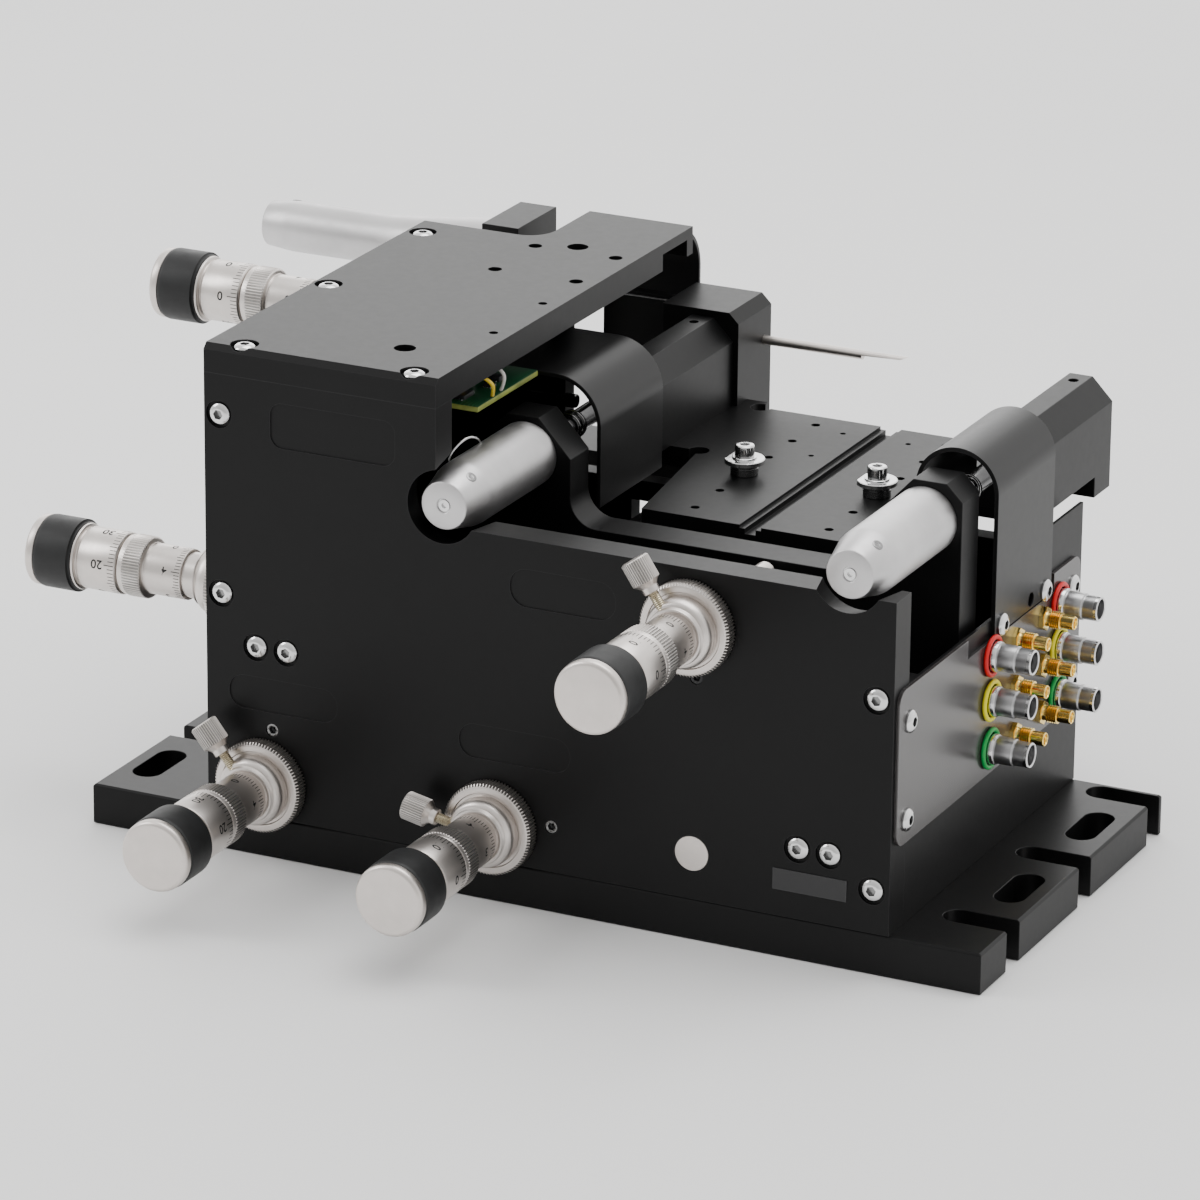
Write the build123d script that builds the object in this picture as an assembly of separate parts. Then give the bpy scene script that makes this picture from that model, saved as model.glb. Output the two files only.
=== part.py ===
from build123d import *
import os

# Six-axis nanopositioning stage, millimetres.
# X runs along the wide front face, Y runs away from it along the platform groove, Z is up.
# The origin is the middle of the base plate's underside.

# Base plate
base_length = 266.0
base_depth = 128.0
base_height = 11.5
slot_width = 8.6
slot_pitch = 50.0
first_slot_y = -42.2
open_slot_reach = 19.8
closed_slot_length = 21.5
closed_slot_inset = 8.8
base_chamfer = 0.6

# Heights that follow the deck of the moving platform
deck_height = 92.5
front_rise = 11.8
tower_rise = 44.0
axis_above_deck = 12.5
front_face = -base_depth / 2
back_face = base_depth / 2
low_top = deck_height + front_rise
tower_top = deck_height + tower_rise
pivot_height = deck_height + axis_above_deck

# Housing outline
housing_left = -96.5
housing_right = 106.7
tower_right = -26.7
plate_thickness = 9.5
wall_thickness = 6.0
side_wall_thickness = 4.0
side_wall_relief = 3.0
side_wall_relief_drop = 22.5
side_wall_relief_height = deck_height - side_wall_relief_drop
side_wall_back_top = 92.7
side_wall_front_top = 79.0
side_wall_step_y = 12.0
back_wall_side_drop = 12.5
back_wall_side_top = deck_height - back_wall_side_drop
back_wall_high_right = -48.5
back_wall_gap = 2.5
back_wall_play = 5.0
window_side_gap = 3.5
window_top_gap = 3.0

# Top cover
cover_thickness = 8.0
cover_chamfer = 1.6
cover_back = 94.9
cover_tail_left = -59.2
cover_corner_radius = 8.0
cover_notch_start = 75.2
cover_notch_end = 91.1
cover_notch_height = 4.9
cover_notch_depth = 12.0
cover_overhang = 0.7
cover_sink = 1.4
cover_large_hole = 3.0
cover_medium_hole = 1.95
cover_small_hole = 1.25
cover_grid = 25.0
cover_grid_x = -57.7
cover_grid_y = 32.1
cover_large_x = -46.7
cover_large_front = -43.0
cover_large_back = 61.7
cover_small_x = -31.8
cover_small_front = -20.0
cover_small_back = 9.7

# Moving platform and its turning centre
centre_x = 34.0
centre_y = 51.5
platform_thickness = 6.0
platform_front = 4.0
platform_back = 99.0
platform_front_half = 32.6
platform_step_half = 39.8
platform_step_y = 56.0
wing_half = 60.0
wing_corner = 3.0
rear_wing_back = 104.0
rear_wing_right = -6.4
groove_width = 3.2
groove_step_width = 6.4
groove_depth = 2.4
groove_step_depth = 0.9
hole_column = 20.0
hole_inner_column = 10.0
hole_row = 16.0
deck_large_hole = 1.25
deck_small_hole = 0.8

# Arms on the platform
arm_spacing = 58.0
arm_half_width = 9.5
arm_flat_half = 3.4
arm_rise = 25.3
arm_top = deck_height + arm_rise
arm_front = 48.0
arm_back = 96.6
arm_chamfer_drop = 6.3
arm_tab_length = 11.5
arm_tab_depth = 6.0
arm_hole_inset = 6.0
arm_hole_radius = 1.4

# Rear block and rod
block_left = -36.6
block_right = -12.8
block_back = 119.0
block_rise = 27.4
block_drop = 12.5
block_top = deck_height + block_rise
block_bottom = deck_height - block_drop
block_chamfer = 3.0
rod_radius = 1.35
rod_y = 114.4
rod_rise = 14.9
rod_z = deck_height + rod_rise
rod_reach = 45.0
rod_tip = 14.0
rod_seat_gap = 0.05
rear_rod_radius = 1.3
rear_rod_y = 108.0
rear_rod_rise = 25.5
rear_rod_z = deck_height + rear_rod_rise

# Front cradle with its ears and the three cylinders
cradle_front = -14.0
cradle_thickness = 11.5
cradle_bar_drop = 1.5
cradle_bar_top = deck_height - cradle_bar_drop
cradle_bottom = 44.0
cylinder_rise = 17.0
cylinder_axis_z = deck_height + cylinder_rise
ear_spacing = 58.8
ear_rise = 10.7
ear_top = cylinder_axis_z + ear_rise
ear_inner_flat = 3.7
ear_outer_flat = 5.9
ear_inner_half = 13.3
ear_outer_half = 10.6
ear_foot_half = 7.5
ear_step_drop = 18.0
ear_step_z = deck_height - ear_step_drop
ear_inner_chamfer = 10.4
ear_fillet = 8.0
cylinder_length = 49.0
cylinder_radius = 9.2
cylinder_nose_radius = 6.7
cylinder_nose_length = 11.0
cylinder_set_hole = 1.5
cylinder_set_inset = 7.0
rear_ear_left = -94.0
rear_ear_thickness = 11.7
rear_ear_front = 95.5
rear_ear_back = 120.5
rear_ear_rise = 43.3
rear_ear_top = deck_height + rear_ear_rise
rear_cylinder_rise = 29.8
rear_cylinder_z = deck_height + rear_cylinder_rise
rear_cylinder_length = 75.5
rear_cylinder_radius = 11.7
rear_cylinder_flare = 37.0
rear_cylinder_barrel = 7.5
rear_cylinder_nose_radius = 6.6
rear_cylinder_nose_length = 8.0
link_rod_radius = 4.0
link_rod_waist = 0.8
link_rod_end = 41.3
clip_wire = 0.45
clip_station = 14.5
clip_pitch = 3.0
beam_drop = 30.0
beam_height = 8.5
beam_bottom = deck_height - beam_drop
beam_top = beam_bottom + beam_height
beam_right = -13.0
beam_width = 11.0
tie_front_inset = 6.0
tie_wall_gap = 1.0
back_wall_low_top = beam_bottom - back_wall_gap

# Bent sheet guards
sheet = 1.2
guard_front = 0.0
guard_back = 39.3
right_guard_radius = 12.0
right_guard_rise = 33.2
right_guard_crown = deck_height + right_guard_rise
right_guard_bottom = 74.4
right_guard_inner_rise = 7.5
right_guard_inner_bottom = deck_height + right_guard_inner_rise
right_guard_hole = 2.0
right_guard_hole_y = 25.0
right_guard_hole_z = 77.0
left_guard_radius = 14.0
left_guard_drop = 7.9
left_guard_crown = tower_top - left_guard_drop
left_guard_face = -9.2
left_guard_low = 0.5
left_guard_bottom = deck_height - left_guard_low
left_guard_left = -44.0
left_guard_flange = 9.0
rear_guard_left = -69.0
rear_guard_right = -38.5
rear_guard_face = 126.0
rear_guard_drop = 16.5
rear_guard_bottom = deck_height - rear_guard_drop
rear_guard_start = 70.0

# Carriages under the platform
slide_gap = 0.3
rail_width = 14.0
rail_height = 4.0
rail_offset = 30.0
carriage_half_x = 44.0
carriage_front_gap = 26.0
carriage_back_gap = 10.0
carriage_front = front_face + carriage_front_gap
carriage_back = back_face - carriage_back_gap
rail_inset = 18.0
rail_y_front = carriage_front + rail_inset
rail_y_back = carriage_back - rail_inset
post_y = 8.0
longitudinal_top = 24.0
lateral_top = 36.0
travel = 2.0
post_radius = 6.0
post_gap = 0.08
post_spread = 24.0
vertical_bottom = 39.0
vertical_half_x = 36.0
cup_radius = 31.0
shell_drop = 13.0
shell_top = deck_height - shell_drop
seat_sphere = 29.0
shell_wall = 3.0
seat_plate_radius = 24.0
seat_plate_drop = 10.5
seat_plate_bottom = deck_height - seat_plate_drop

# Connector panel and connectors
panel_thickness = 1.0
panel_front_inset = 1.5
panel_back_inset = 3.0
panel_front = front_face + panel_front_inset
panel_back = back_face - panel_back_inset
panel_bottom = 35.5
panel_top = 79.0
panel_corner = 4.0
panel_notch_front = -17.5
panel_notch_back = 42.0
panel_notch_drop = 5.3
socket_rows = (43.2, 56.9, 69.6)
socket_columns = (panel_back - 62.5, panel_back - 15.5)
socket_length = 12.5
socket_radius = 3.65
socket_flange_radius = 4.2
socket_ring_radius = 4.6
socket_inset = 3.9
socket_shank_radius = 3.7
socket_bore_radius = 2.6
socket_hole_radius = 4.0
coax_hole_radius = 2.4
coax_nut_radius = 3.4
coax_rows = (41.4, 55.0, 68.6)
coax_columns = (panel_back - 45.3, panel_back - 26.5)
coax_radius = 2.45
coax_tip_radius = 1.9
coax_length = 9.5

# Differential drives, measured outwards from the face that they stand on
ring_nut_radius = 13.0
ring_nut_length = 5.0
collar_length = 6.0
collar_base_radius = 9.7
collar_lip_radius = 7.9
shank_radius = 8.0
shank_gap = 0.1
sleeve_radius = 6.4
spindle_radius = 3.0
running_gap = 0.08
barrel_radius = 7.15
barrel_length = 12.0
knurl_radius = 8.7
knurl_length = 7.4
hub_radius = 4.0
thimble_radius = 8.75
thimble_length = 12.0
flange_length = 1.9
grip_core_radius = 9.0
grip_radius = 10.25
grip_length = 11.8
cap_radius = 10.0
cap_length = 3.1
face_gap = 0.25
spindle_reach = 12.0
lock_station = 3.4
lock_thread_radius = 1.45
lock_neck_radius = 2.3
lock_head_radius = 3.9
lock_start = 7.2
lock_neck_start = 12.4
lock_head_start = 15.8
lock_end = 22.8
side_standoff = 4.5
side_gap = 4.0
face_sleeve_gap = 2.2
optical_x = 48.4
optical_drop = 15.8
optical_z = low_top - optical_drop
yaw_x = -9.0
yaw_z = 22.0
pitch_x = -79.0
pitch_z = 21.5
roll_inset = 27.0
roll_y = front_face + roll_inset
roll_z = 67.0
lateral_inset = 29.5
lateral_drop = 11.5
lateral_y = back_face - lateral_inset
lateral_z = tower_top - lateral_drop
vertical_x = -70.0
vertical_z = 38.0

# Small parts
screw_head_radius = 3.1
screw_head_height = 1.5
screw_socket = 2.0
screw_recess_radius = 3.9
screw_recess_depth = 0.9
set_screw_radius = 1.9
plug_radius = 5.0
board_thickness = 1.6
board_left = -88.0
board_front = -37.0
board_back = -1.0
board_drop = 9.0
board_bottom = tower_top - board_drop
standoff_radius = 2.5
standoff_left = 8.0
standoff_right = 22.0
standoff_inset = 6.0
cleat_y = 43.5
cleat_post_radius = 3.9
cleat_post_height = 3.3
cleat_washer_radius = 5.7
cleat_washer_height = 1.4
cleat_collar_radius = 3.5
cleat_collar_height = 0.5
cleat_head_radius = 2.75
cleat_head_height = 3.4
cleat_flat = 4.6
cleat_socket_radius = 1.4
cleat_socket_depth = 2.0
plug_x = 49.5
plug_z = 24.4

cover_top = tower_top + cover_thickness
left_x = centre_x - arm_spacing
right_x = centre_x + arm_spacing
left_ear_x = centre_x - ear_spacing
right_ear_x = centre_x + ear_spacing
wing_height = deck_height - platform_thickness


def span_box(x0, x1, y0, y1, z0, z1):
    """Box between two corners."""
    size = (abs(x1 - x0), abs(y1 - y0), abs(z1 - z0))
    middle = ((x0 + x1) / 2, (y0 + y1) / 2, (z0 + z1) / 2)
    return Pos(*middle) * Box(*size)


def upright_rod(x, y, z0, z1, radius):
    """Cylinder along Z."""
    return Pos(x, y, (z0 + z1) / 2) * Cylinder(radius, z1 - z0)


def cross_rod(x0, x1, y, z, radius):
    """Cylinder along X."""
    return Pos((x0 + x1) / 2, y, z) * Rot(0, 90, 0) * Cylinder(radius, abs(x1 - x0))


def long_rod(x, y0, y1, z, radius):
    """Cylinder along Y."""
    return Pos(x, (y0 + y1) / 2, z) * Rot(90, 0, 0) * Cylinder(radius, abs(y1 - y0))


def plan_plate(points, z0, z1):
    """Plate with the given outline seen from above."""
    face = make_face(Polyline(*points, close=True))
    return Pos(0, 0, z0) * extrude(face, z1 - z0, dir=(0, 0, 1))


def front_plate_solid(points, y0, y1):
    """Plate with the given X and Z outline, from y0 back to y1."""
    face = make_face(Plane.XZ * Polyline(*points, close=True))
    return Pos(0, y1, 0) * extrude(face, y1 - y0, dir=(0, -1, 0))


def side_plate_solid(points, x0, x1):
    """Plate with the given Y and Z outline, from x0 to x1."""
    face = make_face(Plane.YZ * Polyline(*points, close=True))
    return Pos(x0, 0, 0) * extrude(face, x1 - x0, dir=(1, 0, 0))


def turned(points):
    """Solid of revolution about Z from radius and height pairs, closed on the axis side."""
    profile = make_face(Plane.XZ * Polyline(*points, close=True))
    return revolve(profile, Axis.Z)


def edges_at(part, axis, low, high):
    """Edges parallel to an axis whose middle lies between two corners."""
    found = []
    for edge in part.edges().filter_by(axis):
        middle = edge.center()
        inside_x = low[0] <= middle.X <= high[0]
        inside_y = low[1] <= middle.Y <= high[1]
        inside_z = low[2] <= middle.Z <= high[2]
        if inside_x and inside_y and inside_z:
            found.append(edge)
    return found


# Base plate


def slot_cut(x, y, length, along_x):
    """Round-ended slot through the base plate."""
    sketch = SlotOverall(length, slot_width)
    turn = 0 if along_x else 90
    return Pos(x, y, -1) * Rot(0, 0, turn) * extrude(sketch, base_height + 2)


def make_base_plate():
    half = base_length / 2
    plate = Pos(0, 0, base_height / 2) * Box(base_length, base_depth, base_height)
    plate = chamfer(plate.edges().group_by(Axis.Z)[-1], base_chamfer)
    open_length = 2 * open_slot_reach
    half_pitch = slot_pitch / 2
    for step in range(3):
        y = first_slot_y + step * slot_pitch
        plate -= slot_cut(half, y, open_length, True)
    for step in range(2):
        y = first_slot_y + half_pitch + step * slot_pitch
        plate -= slot_cut(half - closed_slot_inset, y, closed_slot_length, False)
        plate -= slot_cut(-half, y, open_length, True)
        plate -= slot_cut(-half + closed_slot_inset, y - half_pitch, closed_slot_length, False)
    for side in (-1, 1):
        x = centre_x + side * rail_offset
        rail = span_box(x - rail_width / 2, x + rail_width / 2, carriage_front, carriage_back,
                        base_height, base_height + rail_height)
        plate += rail
    return plate


# Drive stations: place, outward direction, stand-off, sleeve gap and lock angle


def drive_frame(x, y, z, direction):
    """Frame whose Z axis points out of the face that a drive stands on."""
    turns = {"front": Rot(90, 0, 0), "left": Rot(0, -90, 0), "back": Rot(-90, 0, 0)}
    return Pos(x, y, z) * turns[direction]


drives = {
    "optical": (drive_frame(optical_x, front_face, optical_z, "front"), 0.0, face_sleeve_gap, 124),
    "yaw": (drive_frame(yaw_x, front_face, yaw_z, "front"), 0.0, face_sleeve_gap, 168),
    "pitch": (drive_frame(pitch_x, front_face, pitch_z, "front"), 0.0, face_sleeve_gap, 129),
    "roll": (drive_frame(housing_left, roll_y, roll_z, "left"), side_standoff, side_gap, 60),
    "lateral": (drive_frame(housing_left, lateral_y, lateral_z, "left"), side_standoff, side_gap, 150),
    "vertical": (drive_frame(vertical_x, back_face, vertical_z, "back"), 0.0, face_sleeve_gap, 60),
}

wall_behind = {
    "optical": plate_thickness,
    "yaw": plate_thickness,
    "pitch": plate_thickness,
    "roll": wall_thickness,
    "lateral": wall_thickness,
    "vertical": wall_thickness,
}


def drive_bores(names):
    """Holes for the shanks of the named drives."""
    bores = []
    for name in names:
        frame = drives[name][0]
        depth = wall_behind[name] + 1
        bores.append(frame * Pos(0, 0, -depth / 2 + 0.5) * Cylinder(shank_radius, depth + 1))
    return bores


def make_ring_nut(name):
    frame, standoff, gap, lock = drives[name]
    bore = shank_radius + shank_gap
    bevel = 0.8
    top = standoff + ring_nut_length
    body = turned([
        (bore, standoff),
        (ring_nut_radius - bevel / 2, standoff),
        (ring_nut_radius, standoff + bevel / 2),
        (ring_nut_radius, top - bevel),
        (ring_nut_radius - bevel, top),
        (collar_base_radius + 0.8, top - 0.4),
        (bore, top - 0.4),
    ])
    if standoff > 0:
        body += turned([
            (bore, 0), (ring_nut_radius - 2.5, 0), (ring_nut_radius - 2.5, standoff), (bore, standoff),
        ])
    return frame * body


def make_collar(name):
    """Fixed sleeve with its domed collar and the shank through the wall."""
    frame, standoff, gap, lock = drives[name]
    base = standoff + ring_nut_length
    lip = base + collar_length
    bore = spindle_radius + running_gap
    sleeve_end = lip + gap + barrel_length - 3.0
    drop = collar_length * 0.3
    profile = [
        (bore, -wall_behind[name]),
        (shank_radius - 0.02, -wall_behind[name]),
        (shank_radius - 0.02, base),
        (collar_base_radius, base),
        (collar_base_radius, base + drop),
        (collar_base_radius - 0.5, base + 2 * drop),
        (collar_lip_radius, lip - 0.8),
        (collar_lip_radius, lip),
        (sleeve_radius, lip),
        (sleeve_radius, sleeve_end),
        (bore, sleeve_end),
    ]
    body = turned(profile)
    reach = collar_base_radius + 1
    drill = Pos(0, 0, base + lock_station) * Rot(0, 0, lock) * Rot(0, 90, 0)
    body -= drill * Pos(0, 0, (lock_start + reach) / 2) * Cylinder(
        lock_thread_radius + running_gap, reach - lock_start + 0.6)
    return frame * body


def make_coarse_thimble(name):
    """Graduated barrel with its knurled ring, the spindle inside and the hub for the fine knob."""
    frame, standoff, gap, lock = drives[name]
    start = standoff + ring_nut_length + collar_length + gap
    inner = -wall_behind[name] - spindle_reach
    if name == "optical":
        inner = front_face - cradle_front + travel + face_gap
    step = start + barrel_length
    end = step + knurl_length
    bore = sleeve_radius + running_gap
    cavity = step + 0.5
    hub_end = end + thimble_length - 1
    nose = 1.2
    profile = [
        (bore, start),
        (barrel_radius - 0.3, start),
        (barrel_radius, start + 0.5),
        (barrel_radius, step),
        (knurl_radius - 0.4, step),
        (knurl_radius, step + 0.5),
        (knurl_radius, end - 0.7),
        (knurl_radius - 0.3, end - 0.7),
        (knurl_radius - 0.3, end),
        (hub_radius, end),
        (hub_radius, hub_end),
        (0, hub_end),
        (0, inner),
        (spindle_radius - nose, inner),
        (spindle_radius, inner + nose),
        (spindle_radius, cavity),
        (bore, cavity),
    ]
    return frame * turned(profile)


def fine_start(name):
    """Station at which the fine thimble begins."""
    frame, standoff, gap, lock = drives[name]
    lip = standoff + ring_nut_length + collar_length
    return lip + gap + barrel_length + knurl_length + face_gap


def make_fine_knob(name):
    """Fine thimble, the core under the grip and the end cap, in one piece."""
    frame, standoff, gap, lock = drives[name]
    start = fine_start(name)
    groove = start + thimble_length
    core = groove + flange_length
    grip_end = core + grip_length
    end = grip_end + cap_length
    bore = hub_radius + running_gap
    bore_end = start + thimble_length - 0.6
    return frame * turned([
        (bore, start),
        (thimble_radius - 0.4, start),
        (thimble_radius, start + 0.5),
        (thimble_radius, groove),
        (thimble_radius - 0.6, groove + 0.3),
        (thimble_radius - 0.6, groove + 0.9),
        (thimble_radius + 0.6, groove + 1.2),
        (thimble_radius + 0.6, core),
        (grip_core_radius, core),
        (grip_core_radius, grip_end),
        (cap_radius, grip_end),
        (cap_radius, end - 1.4),
        (cap_radius - 1.1, end - 0.35),
        (cap_radius - 3.5, end),
        (0, end),
        (0, bore_end),
        (bore, bore_end),
    ])


def make_grip(name):
    """Rubber sleeve on the core of the fine knob."""
    frame, standoff, gap, lock = drives[name]
    core = fine_start(name) + thimble_length + flange_length
    grip_end = core + grip_length
    return frame * turned([
        (grip_core_radius, core),
        (grip_radius - 0.7, core),
        (grip_radius, core + 0.7),
        (grip_radius, grip_end - 0.7),
        (grip_radius - 0.7, grip_end),
        (grip_core_radius, grip_end),
    ])


def make_lock_screw(name):
    frame, standoff, gap, lock = drives[name]
    body = turned([
        (0, lock_start),
        (lock_thread_radius, lock_start),
        (lock_thread_radius, lock_neck_start),
        (lock_neck_radius, lock_neck_start),
        (lock_neck_radius, lock_head_start),
        (lock_head_radius - 0.4, lock_head_start),
        (lock_head_radius, lock_head_start + 0.4),
        (lock_head_radius, lock_end - 0.4),
        (lock_head_radius - 0.4, lock_end),
        (0, lock_end),
    ])
    station = standoff + ring_nut_length + lock_station
    return frame * Pos(0, 0, station) * Rot(0, 0, lock) * Rot(0, 90, 0) * body


# Screws

front_screws = [
    (-92.0, tower_top - 11.4), (-91.8, 74.2), (-81.3, 60.3), (-72.0, 60.3),
    (101.8, 76.7), (101.6, 23.5), (80.1, 31.3), (89.2, 31.3),
]
cover_screws = [
    (-86.3, front_face + 4.4), (-35.2, front_face + 4.4), (-92.0, -1.4), (-91.8, back_face - 9.5),
]
panel_screws = [
    (panel_front + 6.7, 69.3), (panel_front + 5.9, 42.1), (panel_back - 5.4, 71.2), (panel_back - 4.9, 43.2),
]
guard_screws = [(4.7, 76.5), (34.9, 76.5)]
front_set_screws = [(-76.5, 37.1), (8.0, 24.3), (optical_x + 1.7, optical_z - 14.4)]


def screw_head():
    """Low button head with a hexagon socket, seated at z = 0."""
    shoulder = 0.5
    head = turned([
        (0, 0), (screw_head_radius, 0), (screw_head_radius, shoulder),
        (screw_head_radius * 0.8, screw_head_height * 0.85),
        (screw_head_radius * 0.6, screw_head_height), (0, screw_head_height),
    ])
    socket = extrude(RegularPolygon(screw_socket / 2, 6), screw_head_height)
    return head - Pos(0, 0, 0.5) * socket


def screw_frames():
    frames = []
    seat = screw_recess_depth
    for x, z in front_screws:
        frames.append(Pos(x, front_face + seat, z) * Rot(90, 0, 0))
    for x, y in cover_screws:
        frames.append(Pos(x, y, cover_top - cover_sink))
    for y, z in panel_screws:
        frames.append(Pos(housing_right + panel_thickness, y, z) * Rot(0, 90, 0))
    for y, z in guard_screws:
        frames.append(Pos(housing_right + sheet, y, z) * Rot(0, 90, 0))
    return frames


def make_housing_screws():
    return Compound(children=[frame * screw_head() for frame in screw_frames()])


def make_plugs():
    """Round blanking plug and hollow set screws in the front plate."""
    plug = turned([(0, 0), (plug_radius - 0.05, 0), (plug_radius - 0.05, 2.9), (0, 2.9)])
    screws = [Pos(plug_x, front_face + 3, plug_z) * Rot(90, 0, 0) * plug]
    for x, z in front_set_screws:
        body = turned([(0.9, 0), (set_screw_radius, 0), (set_screw_radius, 4), (0.9, 4)])
        screws.append(Pos(x, front_face + 4.2, z) * Rot(90, 0, 0) * body)
    return Compound(children=screws)


# Housing


def make_front_plate():
    top = low_top
    points = [
        (housing_left, base_height), (housing_right, base_height), (housing_right, top),
        (tower_right, top), (tower_right, tower_top), (housing_left, tower_top),
    ]
    back = front_face + plate_thickness
    plate = front_plate_solid(points, front_face, back)
    for bore in drive_bores(("optical", "yaw", "pitch")):
        plate -= bore
    for x, z in front_screws:
        plate -= long_rod(x, front_face - 1, front_face + screw_recess_depth, z, screw_recess_radius)
    for x, z in front_set_screws:
        plate -= long_rod(x, front_face - 1, front_face + 5, z, set_screw_radius)
    plate -= long_rod(plug_x, front_face - 1, front_face + 3, plug_z, plug_radius)
    slope = (cylinder_radius - cylinder_nose_radius) / cylinder_nose_length
    clearance = travel * 1.5 + slope * travel + 0.3
    depth = plate_thickness + 2
    hidden = cylinder_length - (cradle_front - front_face)
    outer = cylinder_nose_radius + clearance + slope * (hidden + plate_thickness + 1)
    inner = outer - slope * depth
    for x in (left_ear_x, right_ear_x):
        cone = turned([(0, 0), (outer, 0), (inner, depth), (0, depth)])
        plate -= Pos(x, back + 1, cylinder_axis_z) * Rot(90, 0, 0) * cone
    for x, z, length, height, corner in label_recesses:
        pocket = extrude(RectangleRounded(length, height, corner), 1.35)
        plate -= Pos(x, front_face + 0.35, z) * Rot(90, 0, 0) * pocket
    return plate


label_recesses = [
    (-57.6, tower_top - 11.9, 37.5, 12.6, 3.5),
    (11.0, low_top - 13.5, 31.0, 10.6, 4.9),
    (-73.0, 47.0, 33.0, 9.6, 4.5),
    (-3.0, 45.0, 33.0, 9.6, 4.5),
]


def make_left_wall():
    inner = housing_left + wall_thickness
    wall = span_box(housing_left, inner, front_face + plate_thickness, back_face - wall_thickness,
                    base_height, tower_top)
    for bore in drive_bores(("roll", "lateral")):
        wall -= bore
    return wall


def make_back_wall():
    """Wall with a low part behind the round cup and a window for the rear beam."""
    right = housing_right - side_wall_thickness
    cup_play = cup_radius + back_wall_play
    cup_left = centre_x - cup_play
    cup_right = centre_x + cup_play
    points = [
        (housing_left, base_height), (right, base_height), (right, back_wall_side_top),
        (cup_right, back_wall_side_top), (cup_right, back_wall_low_top),
        (cup_left, back_wall_low_top), (cup_left, back_wall_side_top),
        (back_wall_high_right, back_wall_side_top), (back_wall_high_right, tower_top),
        (housing_left, tower_top),
    ]
    inner = back_face - wall_thickness
    wall = front_plate_solid(points, inner, back_face)
    wall -= span_box(beam_right - beam_width - window_side_gap, beam_right + window_side_gap,
                     inner - 1, back_face + 1, back_wall_low_top, beam_top + window_top_gap)
    for bore in drive_bores(("vertical",)):
        wall -= bore
    return wall


def make_right_wall():
    front = front_face + plate_thickness
    points = [
        (front, base_height), (back_face, base_height), (back_face, side_wall_back_top),
        (side_wall_step_y, side_wall_back_top), (side_wall_step_y, side_wall_front_top),
        (front, side_wall_front_top),
    ]
    inner = housing_right - side_wall_thickness
    wall = side_plate_solid(points, inner, housing_right)
    wall -= span_box(inner - 1, inner + side_wall_relief, front + 8, back_face + 1,
                     side_wall_relief_height, side_wall_back_top + 1)
    for z in socket_rows:
        for y in socket_columns:
            wall -= cross_rod(inner - 1, housing_right + 1, y, z, socket_hole_radius)
    for z in coax_rows:
        for y in coax_columns:
            wall -= cross_rod(inner - 1, housing_right + 1, y, z, coax_hole_radius)
    return wall


def make_connector_panel():
    middle_y = (panel_front + panel_back) / 2
    middle_z = (panel_bottom + panel_top) / 2
    outline = RectangleRounded(panel_back - panel_front, panel_top - panel_bottom, panel_corner)
    panel = Pos(housing_right, middle_y, middle_z) * (Plane.YZ * extrude(outline, panel_thickness))
    notch_bottom = panel_top - panel_notch_drop
    panel -= span_box(housing_right - 1, housing_right + 2, panel_notch_front, panel_notch_back,
                      notch_bottom, panel_top + 1)
    outer = housing_right + 2
    for z in socket_rows:
        for y in socket_columns:
            panel -= cross_rod(housing_right - 1, outer, y, z, socket_hole_radius)
    for z in coax_rows:
        for y in coax_columns:
            panel -= cross_rod(housing_right - 1, outer, y, z, coax_hole_radius)
    return panel


def make_top_cover():
    outline = [
        (housing_left, front_face), (tower_right, front_face), (tower_right, cover_back),
        (cover_tail_left, cover_back), (cover_tail_left, back_face + cover_overhang),
        (housing_left, back_face + cover_overhang),
    ]
    cover = plan_plate(outline, tower_top, cover_top)
    corner = edges_at(cover, Axis.Z, (cover_tail_left - 1, back_face, tower_top),
                      (cover_tail_left + 1, back_face + 2, cover_top))
    cover = fillet(corner, cover_corner_radius)
    front_edges = edges_at(cover, Axis.X, (housing_left, front_face - 1, cover_top - 0.1),
                           (tower_right, front_face + 1, cover_top + 0.1))
    cover = chamfer(front_edges, cover_chamfer)
    cover -= span_box(tower_right - cover_notch_depth, tower_right + 1, cover_notch_start,
                      cover_notch_end, tower_top - 1, tower_top + cover_notch_height)
    for y in (cover_large_front, cover_large_back):
        cover -= upright_rod(cover_large_x, y, tower_top - 1, cover_top + 1, cover_large_hole)
    for column in range(2):
        for row in range(2):
            x = cover_grid_x + column * cover_grid
            y = cover_grid_y + row * cover_grid
            cover -= upright_rod(x, y, tower_top - 1, cover_top + 1, cover_medium_hole)
    for y in (cover_small_front, cover_small_back):
        cover -= upright_rod(cover_small_x, y, tower_top - 1, cover_top + 1, cover_small_hole)
    for x, y in cover_screws:
        cover -= upright_rod(x, y, cover_top - cover_sink, cover_top + 1, screw_recess_radius)
    return cover


def guard_profile(crown, radius, face_x, bottom, far_x, plane):
    """Closed outline of a sheet: a vertical leg, a quarter bend and a level run."""
    turn_z = crown - radius
    bend_x = face_x - radius
    inner = radius - sheet
    corner_out = CenterArc((bend_x, turn_z), radius, 0, 90)
    corner_in = CenterArc((bend_x, turn_z), inner, 0, 90)
    lines = [
        Line((face_x, bottom), (face_x, turn_z)),
        corner_out,
        Line((bend_x, crown), (far_x, crown)),
        Line((far_x, crown), (far_x, crown - sheet)),
        Line((far_x, crown - sheet), (bend_x, crown - sheet)),
        corner_in,
        Line((face_x - sheet, turn_z), (face_x - sheet, bottom)),
        Line((face_x - sheet, bottom), (face_x, bottom)),
    ]
    return make_face([plane * line for line in lines])


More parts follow.
